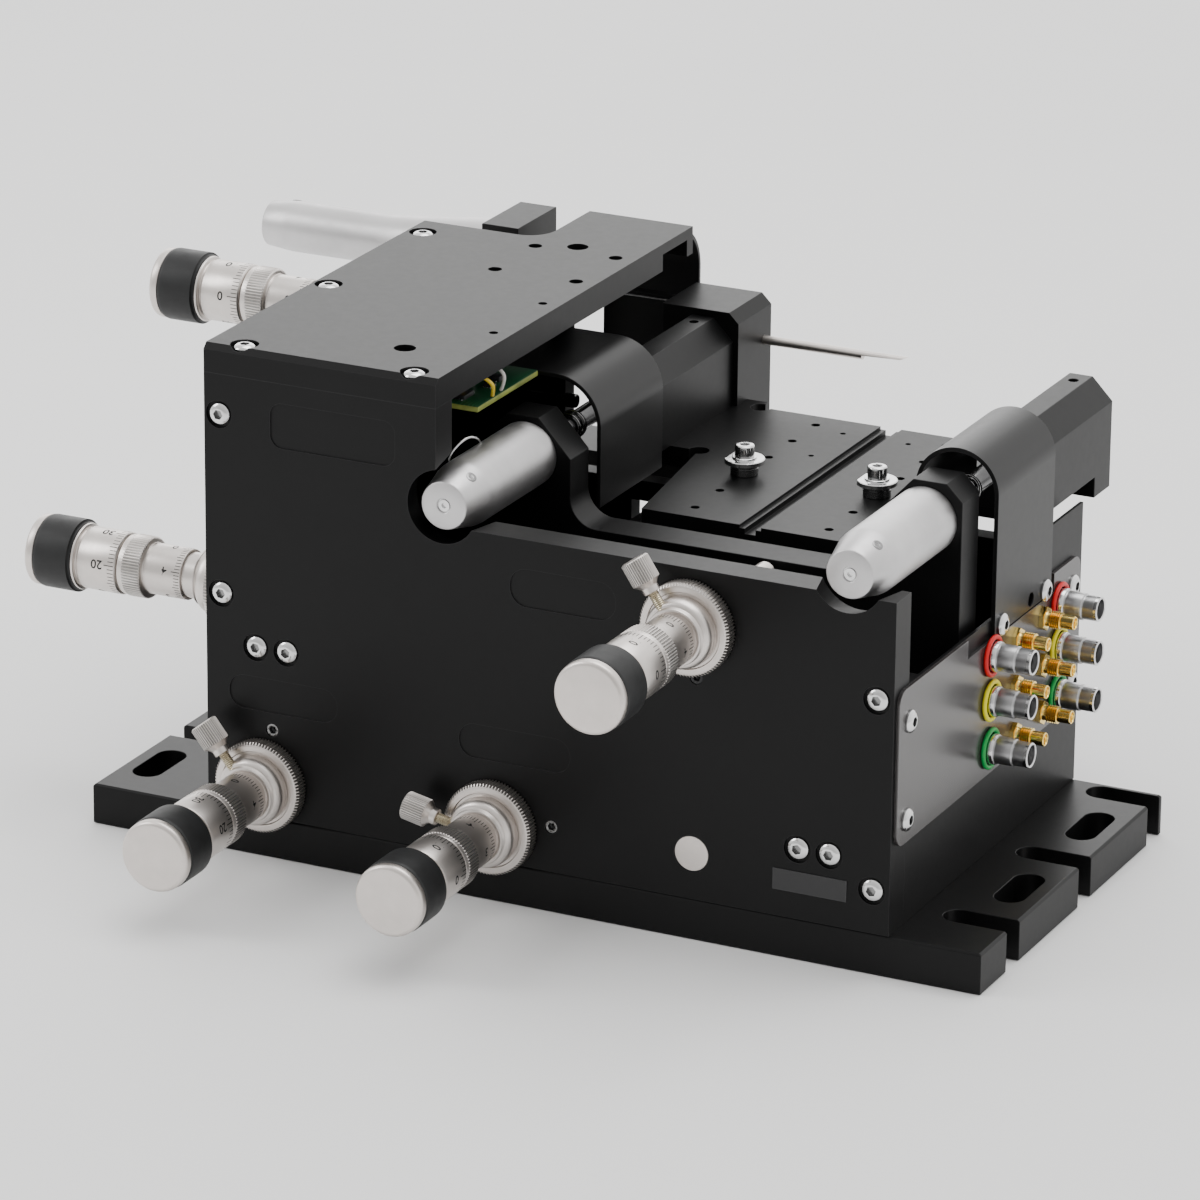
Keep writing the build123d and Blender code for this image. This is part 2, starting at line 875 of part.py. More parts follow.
def make_left_guard():
    """Sheet that hangs from the cover, runs level and bends down beside the platform."""
    profile = guard_profile(left_guard_crown, left_guard_radius, left_guard_face, left_guard_bottom,
                            left_guard_left, Plane.XZ)
    guard = Pos(0, guard_back, 0) * extrude(profile, guard_back - guard_front, dir=(0, -1, 0))
    upstand_left = left_guard_left - sheet
    guard += span_box(upstand_left, left_guard_left, guard_front, guard_back,
                      left_guard_crown - sheet, tower_top - sheet)
    guard += span_box(upstand_left - left_guard_flange, left_guard_left, guard_front, guard_back,
                      tower_top - sheet, tower_top)
    return guard


def make_right_guard():
    """Inverted U of sheet that is screwed to the outside of the right wall."""
    outer_x = housing_right + sheet
    turn_z = right_guard_crown - right_guard_radius
    middle_x = outer_x - right_guard_radius
    inner_radius = right_guard_radius - sheet
    far_x = outer_x - 2 * right_guard_radius
    lines = [
        Line((outer_x, right_guard_bottom), (outer_x, turn_z)),
        CenterArc((middle_x, turn_z), right_guard_radius, 0, 180),
        Line((far_x, turn_z), (far_x, right_guard_inner_bottom)),
        Line((far_x, right_guard_inner_bottom), (far_x + sheet, right_guard_inner_bottom)),
        Line((far_x + sheet, right_guard_inner_bottom), (far_x + sheet, turn_z)),
        CenterArc((middle_x, turn_z), inner_radius, 0, 180),
        Line((outer_x - sheet, turn_z), (outer_x - sheet, right_guard_bottom)),
        Line((outer_x - sheet, right_guard_bottom), (outer_x, right_guard_bottom)),
    ]
    profile = make_face([Plane.XZ * line for line in lines])
    guard = Pos(0, guard_back, 0) * extrude(profile, guard_back - guard_front, dir=(0, -1, 0))
    guard -= cross_rod(outer_x - 2, outer_x + 1, right_guard_hole_y, right_guard_hole_z, right_guard_hole)
    return guard


def make_rear_guard():
    """Sheet under the cover's tail that bends down behind the rear link."""
    profile = guard_profile(tower_top, left_guard_radius, rear_guard_face, rear_guard_bottom,
                            rear_guard_start, Plane.YZ)
    length = rear_guard_right - rear_guard_left
    return Pos(rear_guard_left, 0, 0) * extrude(profile, length, dir=(1, 0, 0))


def make_circuit_board():
    """Board under the cover, on four stand-offs, with a few tall components."""
    right = tower_right - 1.2
    board = span_box(board_left, right, board_front, board_back, board_bottom,
                     board_bottom + board_thickness)
    for x in (board_left + standoff_left, right - standoff_right):
        for y in (board_front + standoff_inset, board_back - standoff_inset):
            board += upright_rod(x, y, board_bottom, tower_top, standoff_radius)
    return board


# Connectors


def make_signal_sockets():
    outer = housing_right + panel_thickness
    sockets = []
    for z in socket_rows:
        for y in socket_columns:
            body = turned([
                (socket_bore_radius, -socket_inset), (socket_shank_radius, -socket_inset),
                (socket_shank_radius, 1.2), (socket_flange_radius, 1.2),
                (socket_flange_radius, 2.9), (socket_radius + 0.1, 3.4), (socket_radius + 0.1, 8.0),
                (socket_radius - 0.25, 8.4), (socket_radius - 0.25, socket_length),
                (socket_bore_radius, socket_length),
            ])
            pins = turned([
                (0, -socket_inset), (socket_bore_radius, -socket_inset), (socket_bore_radius, 6), (0, 6),
            ])
            sockets.append(Pos(outer, y, z) * Rot(0, 90, 0) * (body + pins))
    return Compound(children=sockets)


def make_socket_rings():
    outer = housing_right + panel_thickness
    rings = []
    for z in socket_rows:
        for y in socket_columns:
            ring = turned([(3.8, 0), (socket_ring_radius, 0), (socket_ring_radius, 1.1), (3.8, 1.1)])
            rings.append(Pos(outer, y, z) * Rot(0, 90, 0) * ring)
    return Compound(children=rings)


def make_coax_sockets():
    outer = housing_right + panel_thickness
    sockets = []
    for z in coax_rows:
        for y in coax_columns:
            body = turned([
                (0, -4), (2.3, -4), (2.3, 0.05), (coax_nut_radius, 0.05), (coax_nut_radius, 1.4),
                (2.0, 1.7), (2.0, 2.4),
                (coax_radius, 2.6), (coax_radius, 5.6), (coax_tip_radius, 5.9),
                (coax_tip_radius, coax_length), (1.5, coax_length), (1.5, coax_length - 3), (0, coax_length - 3),
            ])
            sockets.append(Pos(outer, y, z) * Rot(0, 90, 0) * body)
    return Compound(children=sockets)


# Carriages


def make_longitudinal_carriage():
    """Carriage that slides along Y on the two base rails."""
    left = centre_x - carriage_half_x
    right = centre_x + carriage_half_x
    bottom = base_height + slide_gap
    body = span_box(left, right, carriage_front, carriage_back, bottom, longitudinal_top)
    for side in (-1, 1):
        x = centre_x + side * rail_offset
        half = rail_width / 2 + slide_gap
        body -= span_box(x - half, x + half, carriage_front - 1, carriage_back + 1,
                         bottom - 1, base_height + rail_height + slide_gap)
    for y in (rail_y_front, rail_y_back):
        body += span_box(left, right, y - rail_width / 2, y + rail_width / 2,
                         longitudinal_top, longitudinal_top + rail_height)
    return body


def make_lateral_carriage():
    """Carriage that slides along X on the lower one, with two posts for the lift."""
    left = centre_x - carriage_half_x + 3
    right = centre_x + carriage_half_x - 3
    bottom = longitudinal_top + slide_gap
    body = span_box(left, right, carriage_front + 2, carriage_back - 2, bottom, lateral_top)
    for y in (rail_y_front, rail_y_back):
        half = rail_width / 2 + slide_gap
        body -= span_box(left - 1, right + 1, y - half, y + half, bottom - 1,
                         longitudinal_top + rail_height + slide_gap)
    for side in (-1, 1):
        body += upright_rod(centre_x + side * post_spread, post_y, lateral_top - 1, beam_bottom - 6, post_radius)
    return body


def make_vertical_carriage():
    """Lift block round the two posts, with the round cup under the platform on top."""
    back = cradle_front + cradle_thickness
    body = span_box(centre_x - vertical_half_x, centre_x + vertical_half_x, back, centre_y,
                    vertical_bottom, beam_bottom)
    for side in (-1, 1):
        body -= upright_rod(centre_x + side * post_spread, post_y, vertical_bottom - 1,
                            beam_bottom - 2, post_radius + post_gap)
    cup = upright_rod(centre_x, centre_y, beam_bottom, shell_top, cup_radius)
    cup_sphere = seat_sphere + 2 * (shell_wall + slide_gap) + slide_gap
    cup -= Pos(centre_x, centre_y, pivot_height) * Sphere(cup_sphere)
    return body + cup


def spherical_shell(inner, outer):
    """Bowl centred on the turning centre, open at the top."""
    ball = Sphere(outer) - Sphere(inner)
    ball = Pos(centre_x, centre_y, pivot_height) * ball
    keep = span_box(centre_x - 60, centre_x + 60, centre_y - 60, centre_y + 60, 0, shell_top)
    return ball & keep


def make_pitch_shell():
    inner = seat_sphere + slide_gap
    return spherical_shell(inner, inner + shell_wall)


def make_yaw_shell():
    inner = seat_sphere + shell_wall + 2 * slide_gap
    return spherical_shell(inner, inner + shell_wall)


def make_roll_seat():
    """Ball segment and plate screwed under the platform."""
    ball = Pos(centre_x, centre_y, pivot_height) * Sphere(seat_sphere)
    keep = span_box(centre_x - 60, centre_x + 60, centre_y - 60, centre_y + 60, 0, seat_plate_bottom)
    segment = ball & keep
    plate = upright_rod(centre_x, centre_y, seat_plate_bottom, wing_height, seat_plate_radius)
    return segment + plate


def ear_points(x, inner_side):
    """Front view of one ear from its foot up, with unequal shoulders."""
    outer_side = -inner_side
    inner_x = x + inner_side * ear_inner_half
    outer_x = x + outer_side * ear_outer_half
    outer_chamfer = ear_outer_half - ear_outer_flat
    foot_x = x + outer_side * ear_foot_half
    return [
        (foot_x, cradle_bottom),
        (foot_x, ear_step_z),
        (outer_x, ear_step_z),
        (outer_x, ear_top - outer_chamfer),
        (x + outer_side * ear_outer_flat, ear_top),
        (x + inner_side * ear_inner_flat, ear_top),
        (inner_x, ear_top - ear_inner_chamfer),
        (inner_x, cradle_bar_top),
    ]


def make_cradle_frame():
    """U-shaped plate across the front with an ear at each end."""
    left = ear_points(left_ear_x, 1)
    right = ear_points(right_ear_x, -1)
    points = left + right[::-1]
    back = cradle_front + cradle_thickness
    frame = front_plate_solid(points, cradle_front, back)
    corners = edges_at(frame, Axis.Y, (left_ear_x, cradle_front, cradle_bar_top - 0.1),
                       (right_ear_x, back, cradle_bar_top + 0.1))
    frame = fillet(corners, ear_fillet)
    return frame


def cylinder_hole(length, radius):
    """Hollow set-screw hole across the nose of a cylinder that points along Z."""
    middle = Pos(0, 0, length - cylinder_set_inset) * Rot(0, 90, 0) * Pos(0, 0, radius / 2)
    return middle * Cylinder(cylinder_set_hole, radius)


def end_recess(length):
    """Round sink in the middle of a cylinder's end."""
    return upright_rod(0, 0, length - 0.6, length + 1, 2.0)


def make_front_cylinder():
    """Straight turned cylinder with a short conical nose."""
    shoulder = cylinder_length - cylinder_nose_length
    rim = 0.3
    body = turned([
        (0, 0), (cylinder_radius, 0), (cylinder_radius, shoulder),
        (cylinder_nose_radius, cylinder_length - rim), (cylinder_nose_radius - rim, cylinder_length),
        (0, cylinder_length),
    ])
    body -= Rot(0, 0, 55) * cylinder_hole(cylinder_length, cylinder_radius)
    return body - end_recess(cylinder_length)


def make_rear_cylinder():
    """Long turned cylinder that flares towards its ear."""
    shoulder = rear_cylinder_length - rear_cylinder_nose_length
    rim = 0.3
    body = turned([
        (0, 0), (rear_cylinder_radius, 0), (rear_cylinder_barrel, rear_cylinder_flare),
        (rear_cylinder_barrel, shoulder), (rear_cylinder_nose_radius, rear_cylinder_length - rim),
        (rear_cylinder_nose_radius - rim, rear_cylinder_length), (0, rear_cylinder_length),
    ])
    body -= Rot(0, 0, 25) * cylinder_hole(rear_cylinder_length, rear_cylinder_radius)
    return body - end_recess(rear_cylinder_length)


def make_pivot_cylinders():
    """Two cylinders on the front ears and one on the rear ear."""
    solids = []
    for x in (left_ear_x, right_ear_x):
        solids.append(Pos(x, cradle_front, cylinder_axis_z) * Rot(90, 0, 0) * make_front_cylinder())
    body = make_rear_cylinder()
    rear_y = (rear_ear_front + rear_ear_back) / 2
    solids.append(Pos(rear_ear_left, rear_y, rear_cylinder_z) * Rot(0, -90, 0) * body)
    return Compound(children=solids)


def make_rear_bracket():
    """Beam from the lift block round to the rear ear, and the ear itself."""
    right = beam_right
    left = beam_right - beam_width
    start = centre_y - tie_front_inset
    tie_back = back_face - wall_thickness - travel - tie_wall_gap
    ear_right = rear_ear_left + rear_ear_thickness
    beam = span_box(left, right, start, rear_ear_back, beam_bottom, beam_top)
    cross = span_box(rear_ear_left, right, rear_ear_front + 4, rear_ear_back, beam_bottom, beam_top)
    block_reach = centre_x - cup_radius + 4
    tie = span_box(left, block_reach, start, tie_back, beam_bottom, beam_top)
    ear = span_box(rear_ear_left, ear_right, rear_ear_front, rear_ear_back, beam_bottom, rear_ear_top)
    cup = upright_rod(centre_x, centre_y, beam_bottom - 1, shell_top + 1, cup_radius)
    return (beam + cross + tie + ear) - cup


def make_link_rods():
    """Dark rods behind the front ears, each with a collar at both ends."""
    rods = []
    start = cradle_front + cradle_thickness
    waist = link_rod_radius - link_rod_waist
    for x in (left_ear_x, right_ear_x):
        length = link_rod_end - start
        body = turned([
            (0, 0), (link_rod_radius, 0), (link_rod_radius, 6), (waist, 7),
            (waist, length - 7), (link_rod_radius, length - 6),
            (link_rod_radius, length - 1), (link_rod_radius - 1, length), (0, length),
        ])
        rods.append(Pos(x, start, cylinder_axis_z) * Rot(-90, 0, 0) * body)
    return Compound(children=rods)


def make_link_clips():
    """Sprung wire rings round the link rods."""
    rings = []
    start = cradle_front + cradle_thickness
    seat = link_rod_radius - link_rod_waist
    for x in (left_ear_x, right_ear_x):
        for y in (start + clip_station, start + clip_station + clip_pitch):
            ring = Torus(seat + clip_wire, clip_wire)
            rings.append(Pos(x, y, cylinder_axis_z) * Rot(90, 0, 0) * ring)
    return Compound(children=rings)


# Platform


def make_platform():
    left = centre_x - wing_half
    right = centre_x + wing_half
    step_left = centre_x - platform_step_half
    step_right = centre_x + platform_step_half
    outline = [
        (centre_x - platform_front_half, platform_front),
        (centre_x + platform_front_half, platform_front),
        (step_right, platform_step_y), (right, platform_step_y), (right, platform_back),
        (rear_wing_right, platform_back), (rear_wing_right, rear_wing_back),
        (left, rear_wing_back), (left, platform_step_y), (step_left, platform_step_y),
    ]
    plate = plan_plate(outline, wing_height, deck_height)
    for x in (step_left, step_right):
        plate -= upright_rod(x, platform_step_y, wing_height - 1, deck_height + 1, wing_corner)
    plate -= upright_rod(rear_wing_right, platform_back, wing_height - 1, deck_height + 1, wing_corner)
    y0 = platform_front - 1
    y1 = platform_back + 1
    half = groove_width / 2
    plate -= span_box(centre_x - half, centre_x + half, y0, y1, deck_height - groove_depth, deck_height + 1)
    half = groove_step_width / 2
    plate -= span_box(centre_x - half, centre_x + half, y0, y1, deck_height - groove_step_depth, deck_height + 1)
    for side in (-1, 1):
        for row in range(-2, 4):
            if row == 0:
                continue
            y = cleat_y + row * hole_row
            plate -= upright_rod(centre_x + side * hole_column, y, deck_height - 5, deck_height + 1, deck_large_hole)
        for offset in (22.7, 44.5):
            x = centre_x + side * hole_inner_column
            plate -= upright_rod(x, cleat_y + offset, deck_height - 5, deck_height + 1, deck_small_hole)
    return plate


def make_arm(side):
    """Arm on a wing of the platform, with sloping shoulders and a hooked tail."""
    x = centre_x + side * arm_spacing
    shoulder = arm_top - arm_chamfer_drop
    half = arm_half_width
    points = [
        (x - half, deck_height), (x + half, deck_height), (x + half, shoulder),
        (x + arm_flat_half, arm_top), (x - arm_flat_half, arm_top), (x - half, shoulder),
    ]
    arm = front_plate_solid(points, arm_front, arm_back)
    outer = x + side * half
    inner = centre_x + side * (wing_half + 0.2)
    arm += span_box(outer, inner, arm_back - arm_tab_length, arm_back, deck_height - arm_tab_depth, deck_height)
    arm -= upright_rod(x, arm_back - arm_hole_inset, arm_top - 8, arm_top + 1, arm_hole_radius)
    return arm


def make_rear_block():
    """Block behind the left arm that takes the rod."""
    points = [
        (block_left, block_bottom), (block_right, block_bottom), (block_right, block_top - block_chamfer),
        (block_right - block_chamfer, block_top), (block_left, block_top),
    ]
    block = front_plate_solid(points, arm_back, block_back)
    block -= span_box(block_left - 1, block_right + 1, arm_back - 1, rear_wing_back,
                      block_bottom - 1, deck_height)
    block -= cross_rod(block_left - 1, block_right + 1, rod_y, rod_z, rod_radius + rod_seat_gap)
    block -= cross_rod(block_left - 1, block_left + 8, rear_rod_y, rear_rod_z, rear_rod_radius + rod_seat_gap)
    return block


def make_guide_rod():
    """Polished rod with a tip cut away from below."""
    end = block_right + rod_reach
    rod = cross_rod(block_left + 4, end, rod_y, rod_z, rod_radius)
    cut = front_plate_solid([
        (end - rod_tip, rod_z + rod_radius * 0.1), (end - rod_tip, rod_z - 3), (end + 1, rod_z - 3),
        (end + 1, rod_z + rod_radius + 0.3), (end - rod_tip * 0.15, rod_z + rod_radius * 0.4),
    ], rod_y - 3, rod_y + 3)
    return rod - cut


def make_rear_link():
    """Dark rod from the rear block towards the rear ear."""
    start = rear_ear_left + rear_ear_thickness + 5.0
    return cross_rod(start, block_left + 7.5, rear_rod_y, rear_rod_z, rear_rod_radius)


def make_cleats():
    """Two clamps: post, flat-sided washer and socket cap screw."""
    solids = []
    for side in (-1, 1):
        place = Pos(centre_x + side * hole_column, cleat_y, deck_height)
        washer_z = cleat_post_height
        collar_z = washer_z + cleat_washer_height
        head_z = collar_z + cleat_collar_height
        head_top = head_z + cleat_head_height
        post = upright_rod(0, 0, 0, washer_z, cleat_post_radius)
        washer = upright_rod(0, 0, washer_z, collar_z, cleat_washer_radius)
        trim_x = -cleat_flat
        washer -= span_box(trim_x - cleat_flat, trim_x, -cleat_washer_radius, cleat_washer_radius, 0, collar_z)
        collar = upright_rod(0, 0, collar_z, head_z, cleat_collar_radius)
        head = upright_rod(0, 0, head_z, head_top, cleat_head_radius)
        socket = extrude(RegularPolygon(cleat_socket_radius, 6), cleat_socket_depth)
        head -= Pos(0, 0, head_top - cleat_socket_depth) * socket
        solids += [place * post, place * (washer + collar), place * head]
    return Compound(children=solids)


def write(name, part):
    export_step(part, "parts/" + name + ".step")


os.makedirs("parts", exist_ok=True)

nodes = {
    "base_plate": make_base_plate(),
    "front_plate": make_front_plate(),
    "left_wall": make_left_wall(),
    "back_wall": make_back_wall(),
    "right_wall": make_right_wall(),
    "top_cover": make_top_cover(),
    "left_guard": make_left_guard(),
    "right_guard": make_right_guard(),
    "rear_guard": make_rear_guard(),
    "connector_panel": make_connector_panel(),
    "circuit_board": make_circuit_board(),
    "signal_sockets": make_signal_sockets(),
    "socket_rings": make_socket_rings(),
    "coax_sockets": make_coax_sockets(),
    "housing_screws": make_housing_screws(),
    "front_plugs": make_plugs(),
    "ring_nuts": Compound(children=[make_ring_nut(name) for name in drives]),
    "drive_collars": Compound(children=[make_collar(name) for name in drives]),
    "longitudinal_carriage": make_longitudinal_carriage(),
    "lateral_carriage": make_lateral_carriage(),
    "vertical_carriage": make_vertical_carriage(),
    "cradle_frame": make_cradle_frame(),
    "rear_bracket": make_rear_bracket(),
    "pivot_cylinders": make_pivot_cylinders(),
    "link_rods": make_link_rods(),
    "link_clips": make_link_clips(),
    "yaw_shell": make_yaw_shell(),
    "pitch_shell": make_pitch_shell(),
    "roll_seat": make_roll_seat(),
    "platform": make_platform(),
    "left_arm": make_arm(-1),
    "right_arm": make_arm(1),
    "rear_block": make_rear_block(),
    "rear_link": make_rear_link(),
    "guide_rod": make_guide_rod(),
}
nodes["cleats"] = make_cleats()

for drive in drives:
    nodes[drive + "_coarse_thimble"] = make_coarse_thimble(drive)
    nodes[drive + "_fine_knob"] = make_fine_knob(drive)
    nodes[drive + "_grip"] = make_grip(drive)
    nodes[drive + "_lock_screw"] = make_lock_screw(drive)


for name, part in nodes.items():
    write(name, part)
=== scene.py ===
import math
import random

import bmesh
import bpy
from mathutils import Matrix, Vector


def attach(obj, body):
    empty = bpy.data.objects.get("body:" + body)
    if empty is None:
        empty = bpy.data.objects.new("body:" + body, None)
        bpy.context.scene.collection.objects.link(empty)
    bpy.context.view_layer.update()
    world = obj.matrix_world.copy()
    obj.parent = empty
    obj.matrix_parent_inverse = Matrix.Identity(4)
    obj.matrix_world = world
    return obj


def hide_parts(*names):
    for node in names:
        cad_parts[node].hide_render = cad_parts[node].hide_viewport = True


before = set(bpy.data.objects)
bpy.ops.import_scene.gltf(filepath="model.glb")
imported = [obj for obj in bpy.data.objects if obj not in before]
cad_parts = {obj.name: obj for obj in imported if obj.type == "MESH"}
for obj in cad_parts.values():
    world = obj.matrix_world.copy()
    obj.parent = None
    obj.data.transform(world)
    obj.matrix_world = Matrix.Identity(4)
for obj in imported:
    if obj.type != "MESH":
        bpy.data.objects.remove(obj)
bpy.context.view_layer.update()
rng = random.Random(7)
MM = 0.001
TAU = 2 * math.pi

# Camera, at the photo's angle: lengths in mm, the focal length in pixels of a square picture
AZIMUTH, ELEVATION, ROLL = math.radians(25.78699), math.radians(19.86219), math.radians(0.54163)
FOCAL_PX, PICTURE_PX, SENSOR = 6779.947, 1200, 36
DISTANCE, SHIFT_X, SHIFT_Y = 1858.5834, 4.4149, -5.42375
TARGET = Vector((-14.4, 1.0, 70.0))
ca, sa, ce, se = math.cos(AZIMUTH), math.sin(AZIMUTH), math.cos(ELEVATION), math.sin(ELEVATION)
back = Vector((sa * ce, -ca * ce, se))
flat_right = Vector((ca, sa, 0))
flat_up = Vector((-sa * se, ca * se, ce))
right = math.cos(ROLL) * flat_right + math.sin(ROLL) * flat_up
up = -math.sin(ROLL) * flat_right + math.cos(ROLL) * flat_up
eye = (TARGET + back * DISTANCE + right * SHIFT_X + up * SHIFT_Y) * MM
camera_data = bpy.data.cameras.new("camera")
camera_data.sensor_width = SENSOR
camera_data.lens = FOCAL_PX / PICTURE_PX * SENSOR
camera_data.clip_start = 0.1
camera_data.clip_end = 30
camera = bpy.data.objects.new("camera", camera_data)
camera.matrix_world = Matrix((
    (right.x, up.x, back.x, eye.x),
    (right.y, up.y, back.y, eye.y),
    (right.z, up.z, back.z, eye.z),
    (0, 0, 0, 1)))
bpy.context.scene.collection.objects.link(camera)
bpy.context.scene.camera = camera


# Materials
class Nodes:
    """Short-hand for building one material's node tree."""

    def __init__(self, name):
        self.material = bpy.data.materials.new(name)
        self.material.use_nodes = True
        self.tree = self.material.node_tree
        self.shader = self.tree.nodes["Principled BSDF"]
        self.coords = self.add("ShaderNodeTexCoord").outputs["Object"]

    def add(self, kind, **values):
        node = self.tree.nodes.new(kind)
        for key, value in values.items():
            if key[0].isupper():
                node.inputs[key.replace("_", " ")].default_value = value
            else:
                setattr(node, key, value)
        return node

    def link(self, output, target):
        self.tree.links.new(output, target)

    def noise(self, scale, detail=3.0, rough=0.6, vector=None):
        node = self.add("ShaderNodeTexNoise", Scale=scale, Detail=detail, Roughness=rough)
        self.link(vector or self.coords, node.inputs["Vector"])
        return node.outputs["Fac"]

    def ramp(self, factor, stops):
        node = self.add("ShaderNodeValToRGB")
        ramp = node.color_ramp
        while len(ramp.elements) < len(stops):
            ramp.elements.new(0.5)
        for element, (place, colour) in zip(ramp.elements, stops):
            element.position = place
            element.color = (*colour, 1)
        self.link(factor, node.inputs["Fac"])
        return node.outputs["Color"]

    def spread(self, factor, low, high, from_low=0.3, from_high=0.7):
        node = self.add("ShaderNodeMapRange", From_Min=from_low, From_Max=from_high, To_Min=low, To_Max=high)
        self.link(factor, node.inputs["Value"])
        return node.outputs["Result"]

    def mix(self, factor, a, b):
        node = self.add("ShaderNodeMix", data_type="RGBA")
        self.link(factor, node.inputs["Factor"])
        for socket, value in ((node.inputs[6], a), (node.inputs[7], b)):
            if isinstance(value, tuple):
                socket.default_value = (*value, 1)
            else:
                self.link(value, socket)
        return node.outputs[2]

    def bump(self, height, strength, distance):
        node = self.add("ShaderNodeBump", Strength=strength, Distance=distance)
        self.link(height, node.inputs["Height"])
        self.link(node.outputs["Normal"], self.shader.inputs["Normal"])

    def rings(self):
        """Coordinates that follow radius and height round the local Z axis."""
        split = self.add("ShaderNodeSeparateXYZ")
        self.link(self.coords, split.inputs[0])
        length = self.add("ShaderNodeVectorMath", operation="LENGTH")
        flat = self.add("ShaderNodeCombineXYZ")
        self.link(split.outputs[0], flat.inputs[0])
        self.link(split.outputs[1], flat.inputs[1])
        self.link(flat.outputs[0], length.inputs[0])
        joined = self.add("ShaderNodeCombineXYZ")
        self.link(length.outputs["Value"], joined.inputs[0])
        self.link(split.outputs[2], joined.inputs[1])
        return joined.outputs[0]

    def set(self, **values):
        for key, value in values.items():
            socket = self.shader.inputs[key.replace("_", " ")]
            socket.default_value = (*value, 1) if isinstance(value, tuple) else value


def edge_mask(n, radius):
    """1 on edges, 0 on faces, from the rounded normal."""
    bevel = n.add("ShaderNodeBevel", samples=4, Radius=radius)
    geometry = n.add("ShaderNodeNewGeometry")
    dot = n.add("ShaderNodeVectorMath", operation="DOT_PRODUCT")
    n.link(bevel.outputs["Normal"], dot.inputs[0])
    n.link(geometry.outputs["Normal"], dot.inputs[1])
    return n.spread(dot.outputs["Value"], 1.0, 0.0, 0.86, 0.99)


def anodised(name, colour, light, rough, specular, relief=0.08):
    """Dyed aluminium with a fine grain and a painted highlight on its edges."""
    n = Nodes(name)
    cloud = n.noise(22, 4)
    fine = n.noise(2600, 2)
    tone = n.ramp(cloud, [(0.3, colour), (0.72, light)])
    # Painted highlight: the edges get a paler colour, as if their chamfers caught the light.
    edge_highlight = tuple(v * 3.2 + 0.012 for v in light)
    highlit = n.mix(edge_mask(n, 0.0003), tone, edge_highlight)
    n.link(highlit, n.shader.inputs["Base Color"])
    n.link(n.spread(n.noise(420, 3), rough - 0.01, rough + 0.015), n.shader.inputs["Roughness"])
    n.bump(fine, relief, 0.00006)
    n.set(Metallic=0.0, Specular_IOR_Level=specular)
    return n.material


def turned_metal(name, colour, dark, rough, strength=0.12, frequency=9000):
    """Metal with fine turning marks round the piece's own axis."""
    n = Nodes(name)
    rings = n.rings()
    line = n.noise(frequency, 2, 0.5, rings)
    cloud = n.noise(160, 4)
    tone = n.mix(n.spread(cloud, 0.0, 1.0), dark, colour)
    n.link(tone, n.shader.inputs["Base Color"])
    n.link(n.spread(line, rough - 0.05, rough + 0.08), n.shader.inputs["Roughness"])
    n.bump(line, strength, 0.00003)
    n.set(Metallic=1.0)
    return n.material


def blasted_metal(name, colour, dark, rough):
    """Metal with a fine even grain."""
    n = Nodes(name)
    fine = n.noise(2200, 3, 0.7)
    cloud = n.noise(40, 5)
    n.link(n.mix(n.spread(cloud, 0.0, 1.0), dark, colour), n.shader.inputs["Base Color"])
    n.link(n.spread(n.noise(300, 4), rough - 0.04, rough + 0.06), n.shader.inputs["Roughness"])
    n.bump(fine, 0.16, 0.00005)
    n.set(Metallic=1.0)
    return n.material


def plain(name, colour, light, rough, metallic=0.0, scale=60, grain=1500, strength=0.08, specular=0.5):
    """Paint, plastic, rubber or plating: two close tones and a fine relief."""
    n = Nodes(name)
    n.link(n.ramp(n.noise(scale, 4), [(0.3, colour), (0.7, light)]), n.shader.inputs["Base Color"])
    n.link(n.spread(n.noise(scale * 3, 4), rough - 0.04, rough + 0.05), n.shader.inputs["Roughness"])
    n.bump(n.noise(grain, 3), strength, 0.00005)
    n.set(Metallic=metallic, Specular_IOR_Level=specular)
    return n.material


def board_material():
    """Green solder mask with rows of fine copper tracks under it."""
    n = Nodes("solder_mask")
    wave = n.add("ShaderNodeTexWave", Scale=260.0, Distortion=3.0, Detail=2.0)
    n.link(n.coords, wave.inputs["Vector"])
    tracks = n.spread(wave.outputs["Fac"], 0.0, 1.0, 0.62, 0.75)
    patch = n.spread(n.noise(90, 2), 0.0, 1.0, 0.45, 0.6)
    both = n.add("ShaderNodeMath", operation="MULTIPLY")
    n.link(tracks, both.inputs[0])
    n.link(patch, both.inputs[1])
    n.link(n.mix(both.outputs[0], (0.005, 0.045, 0.018), (0.018, 0.11, 0.04)), n.shader.inputs["Base Color"])
    n.bump(both.outputs[0], 0.3, 0.00004)
    n.set(Roughness=0.3, Specular_IOR_Level=0.5)
    return n.material


BLACK = anodised("anodised_black", (0.0036, 0.0036, 0.0038), (0.0044, 0.0044, 0.0046), 0.40, 0.18)
BLACK_SHEET = anodised("anodised_black_sheet", (0.004, 0.004, 0.0042), (0.0052, 0.0052, 0.0054), 0.33, 0.24)
CARRIAGE = anodised("anodised_dark", (0.004, 0.004, 0.0042), (0.006, 0.006, 0.0062), 0.5, 0.2)
PANEL = anodised("anodised_grey", (0.032, 0.029, 0.029), (0.040, 0.036, 0.036), 0.25, 0.75, relief=0.02)
LABEL = anodised("label_black", (0.010, 0.010, 0.011), (0.014, 0.014, 0.015), 0.30, 0.5)
SILVER = blasted_metal("blasted_silver", (0.65, 0.64, 0.642), (0.55, 0.543, 0.545), 0.42)
NICKEL = turned_metal("satin_nickel", (0.72, 0.675, 0.64), (0.64, 0.60, 0.57), 0.34, 0.07, 7000)
NICKEL_FACE = turned_metal("satin_nickel_face", (0.71, 0.66, 0.625), (0.65, 0.605, 0.57), 0.36, 0.05, 5000)
# Painted shade: a darker metal for the knurl valleys and one flank of each tooth, where shade falls between
# the teeth.
VALLEY_SHADE = turned_metal("knurl_valley_shade", (0.40, 0.39, 0.375), (0.30, 0.29, 0.28), 0.40)
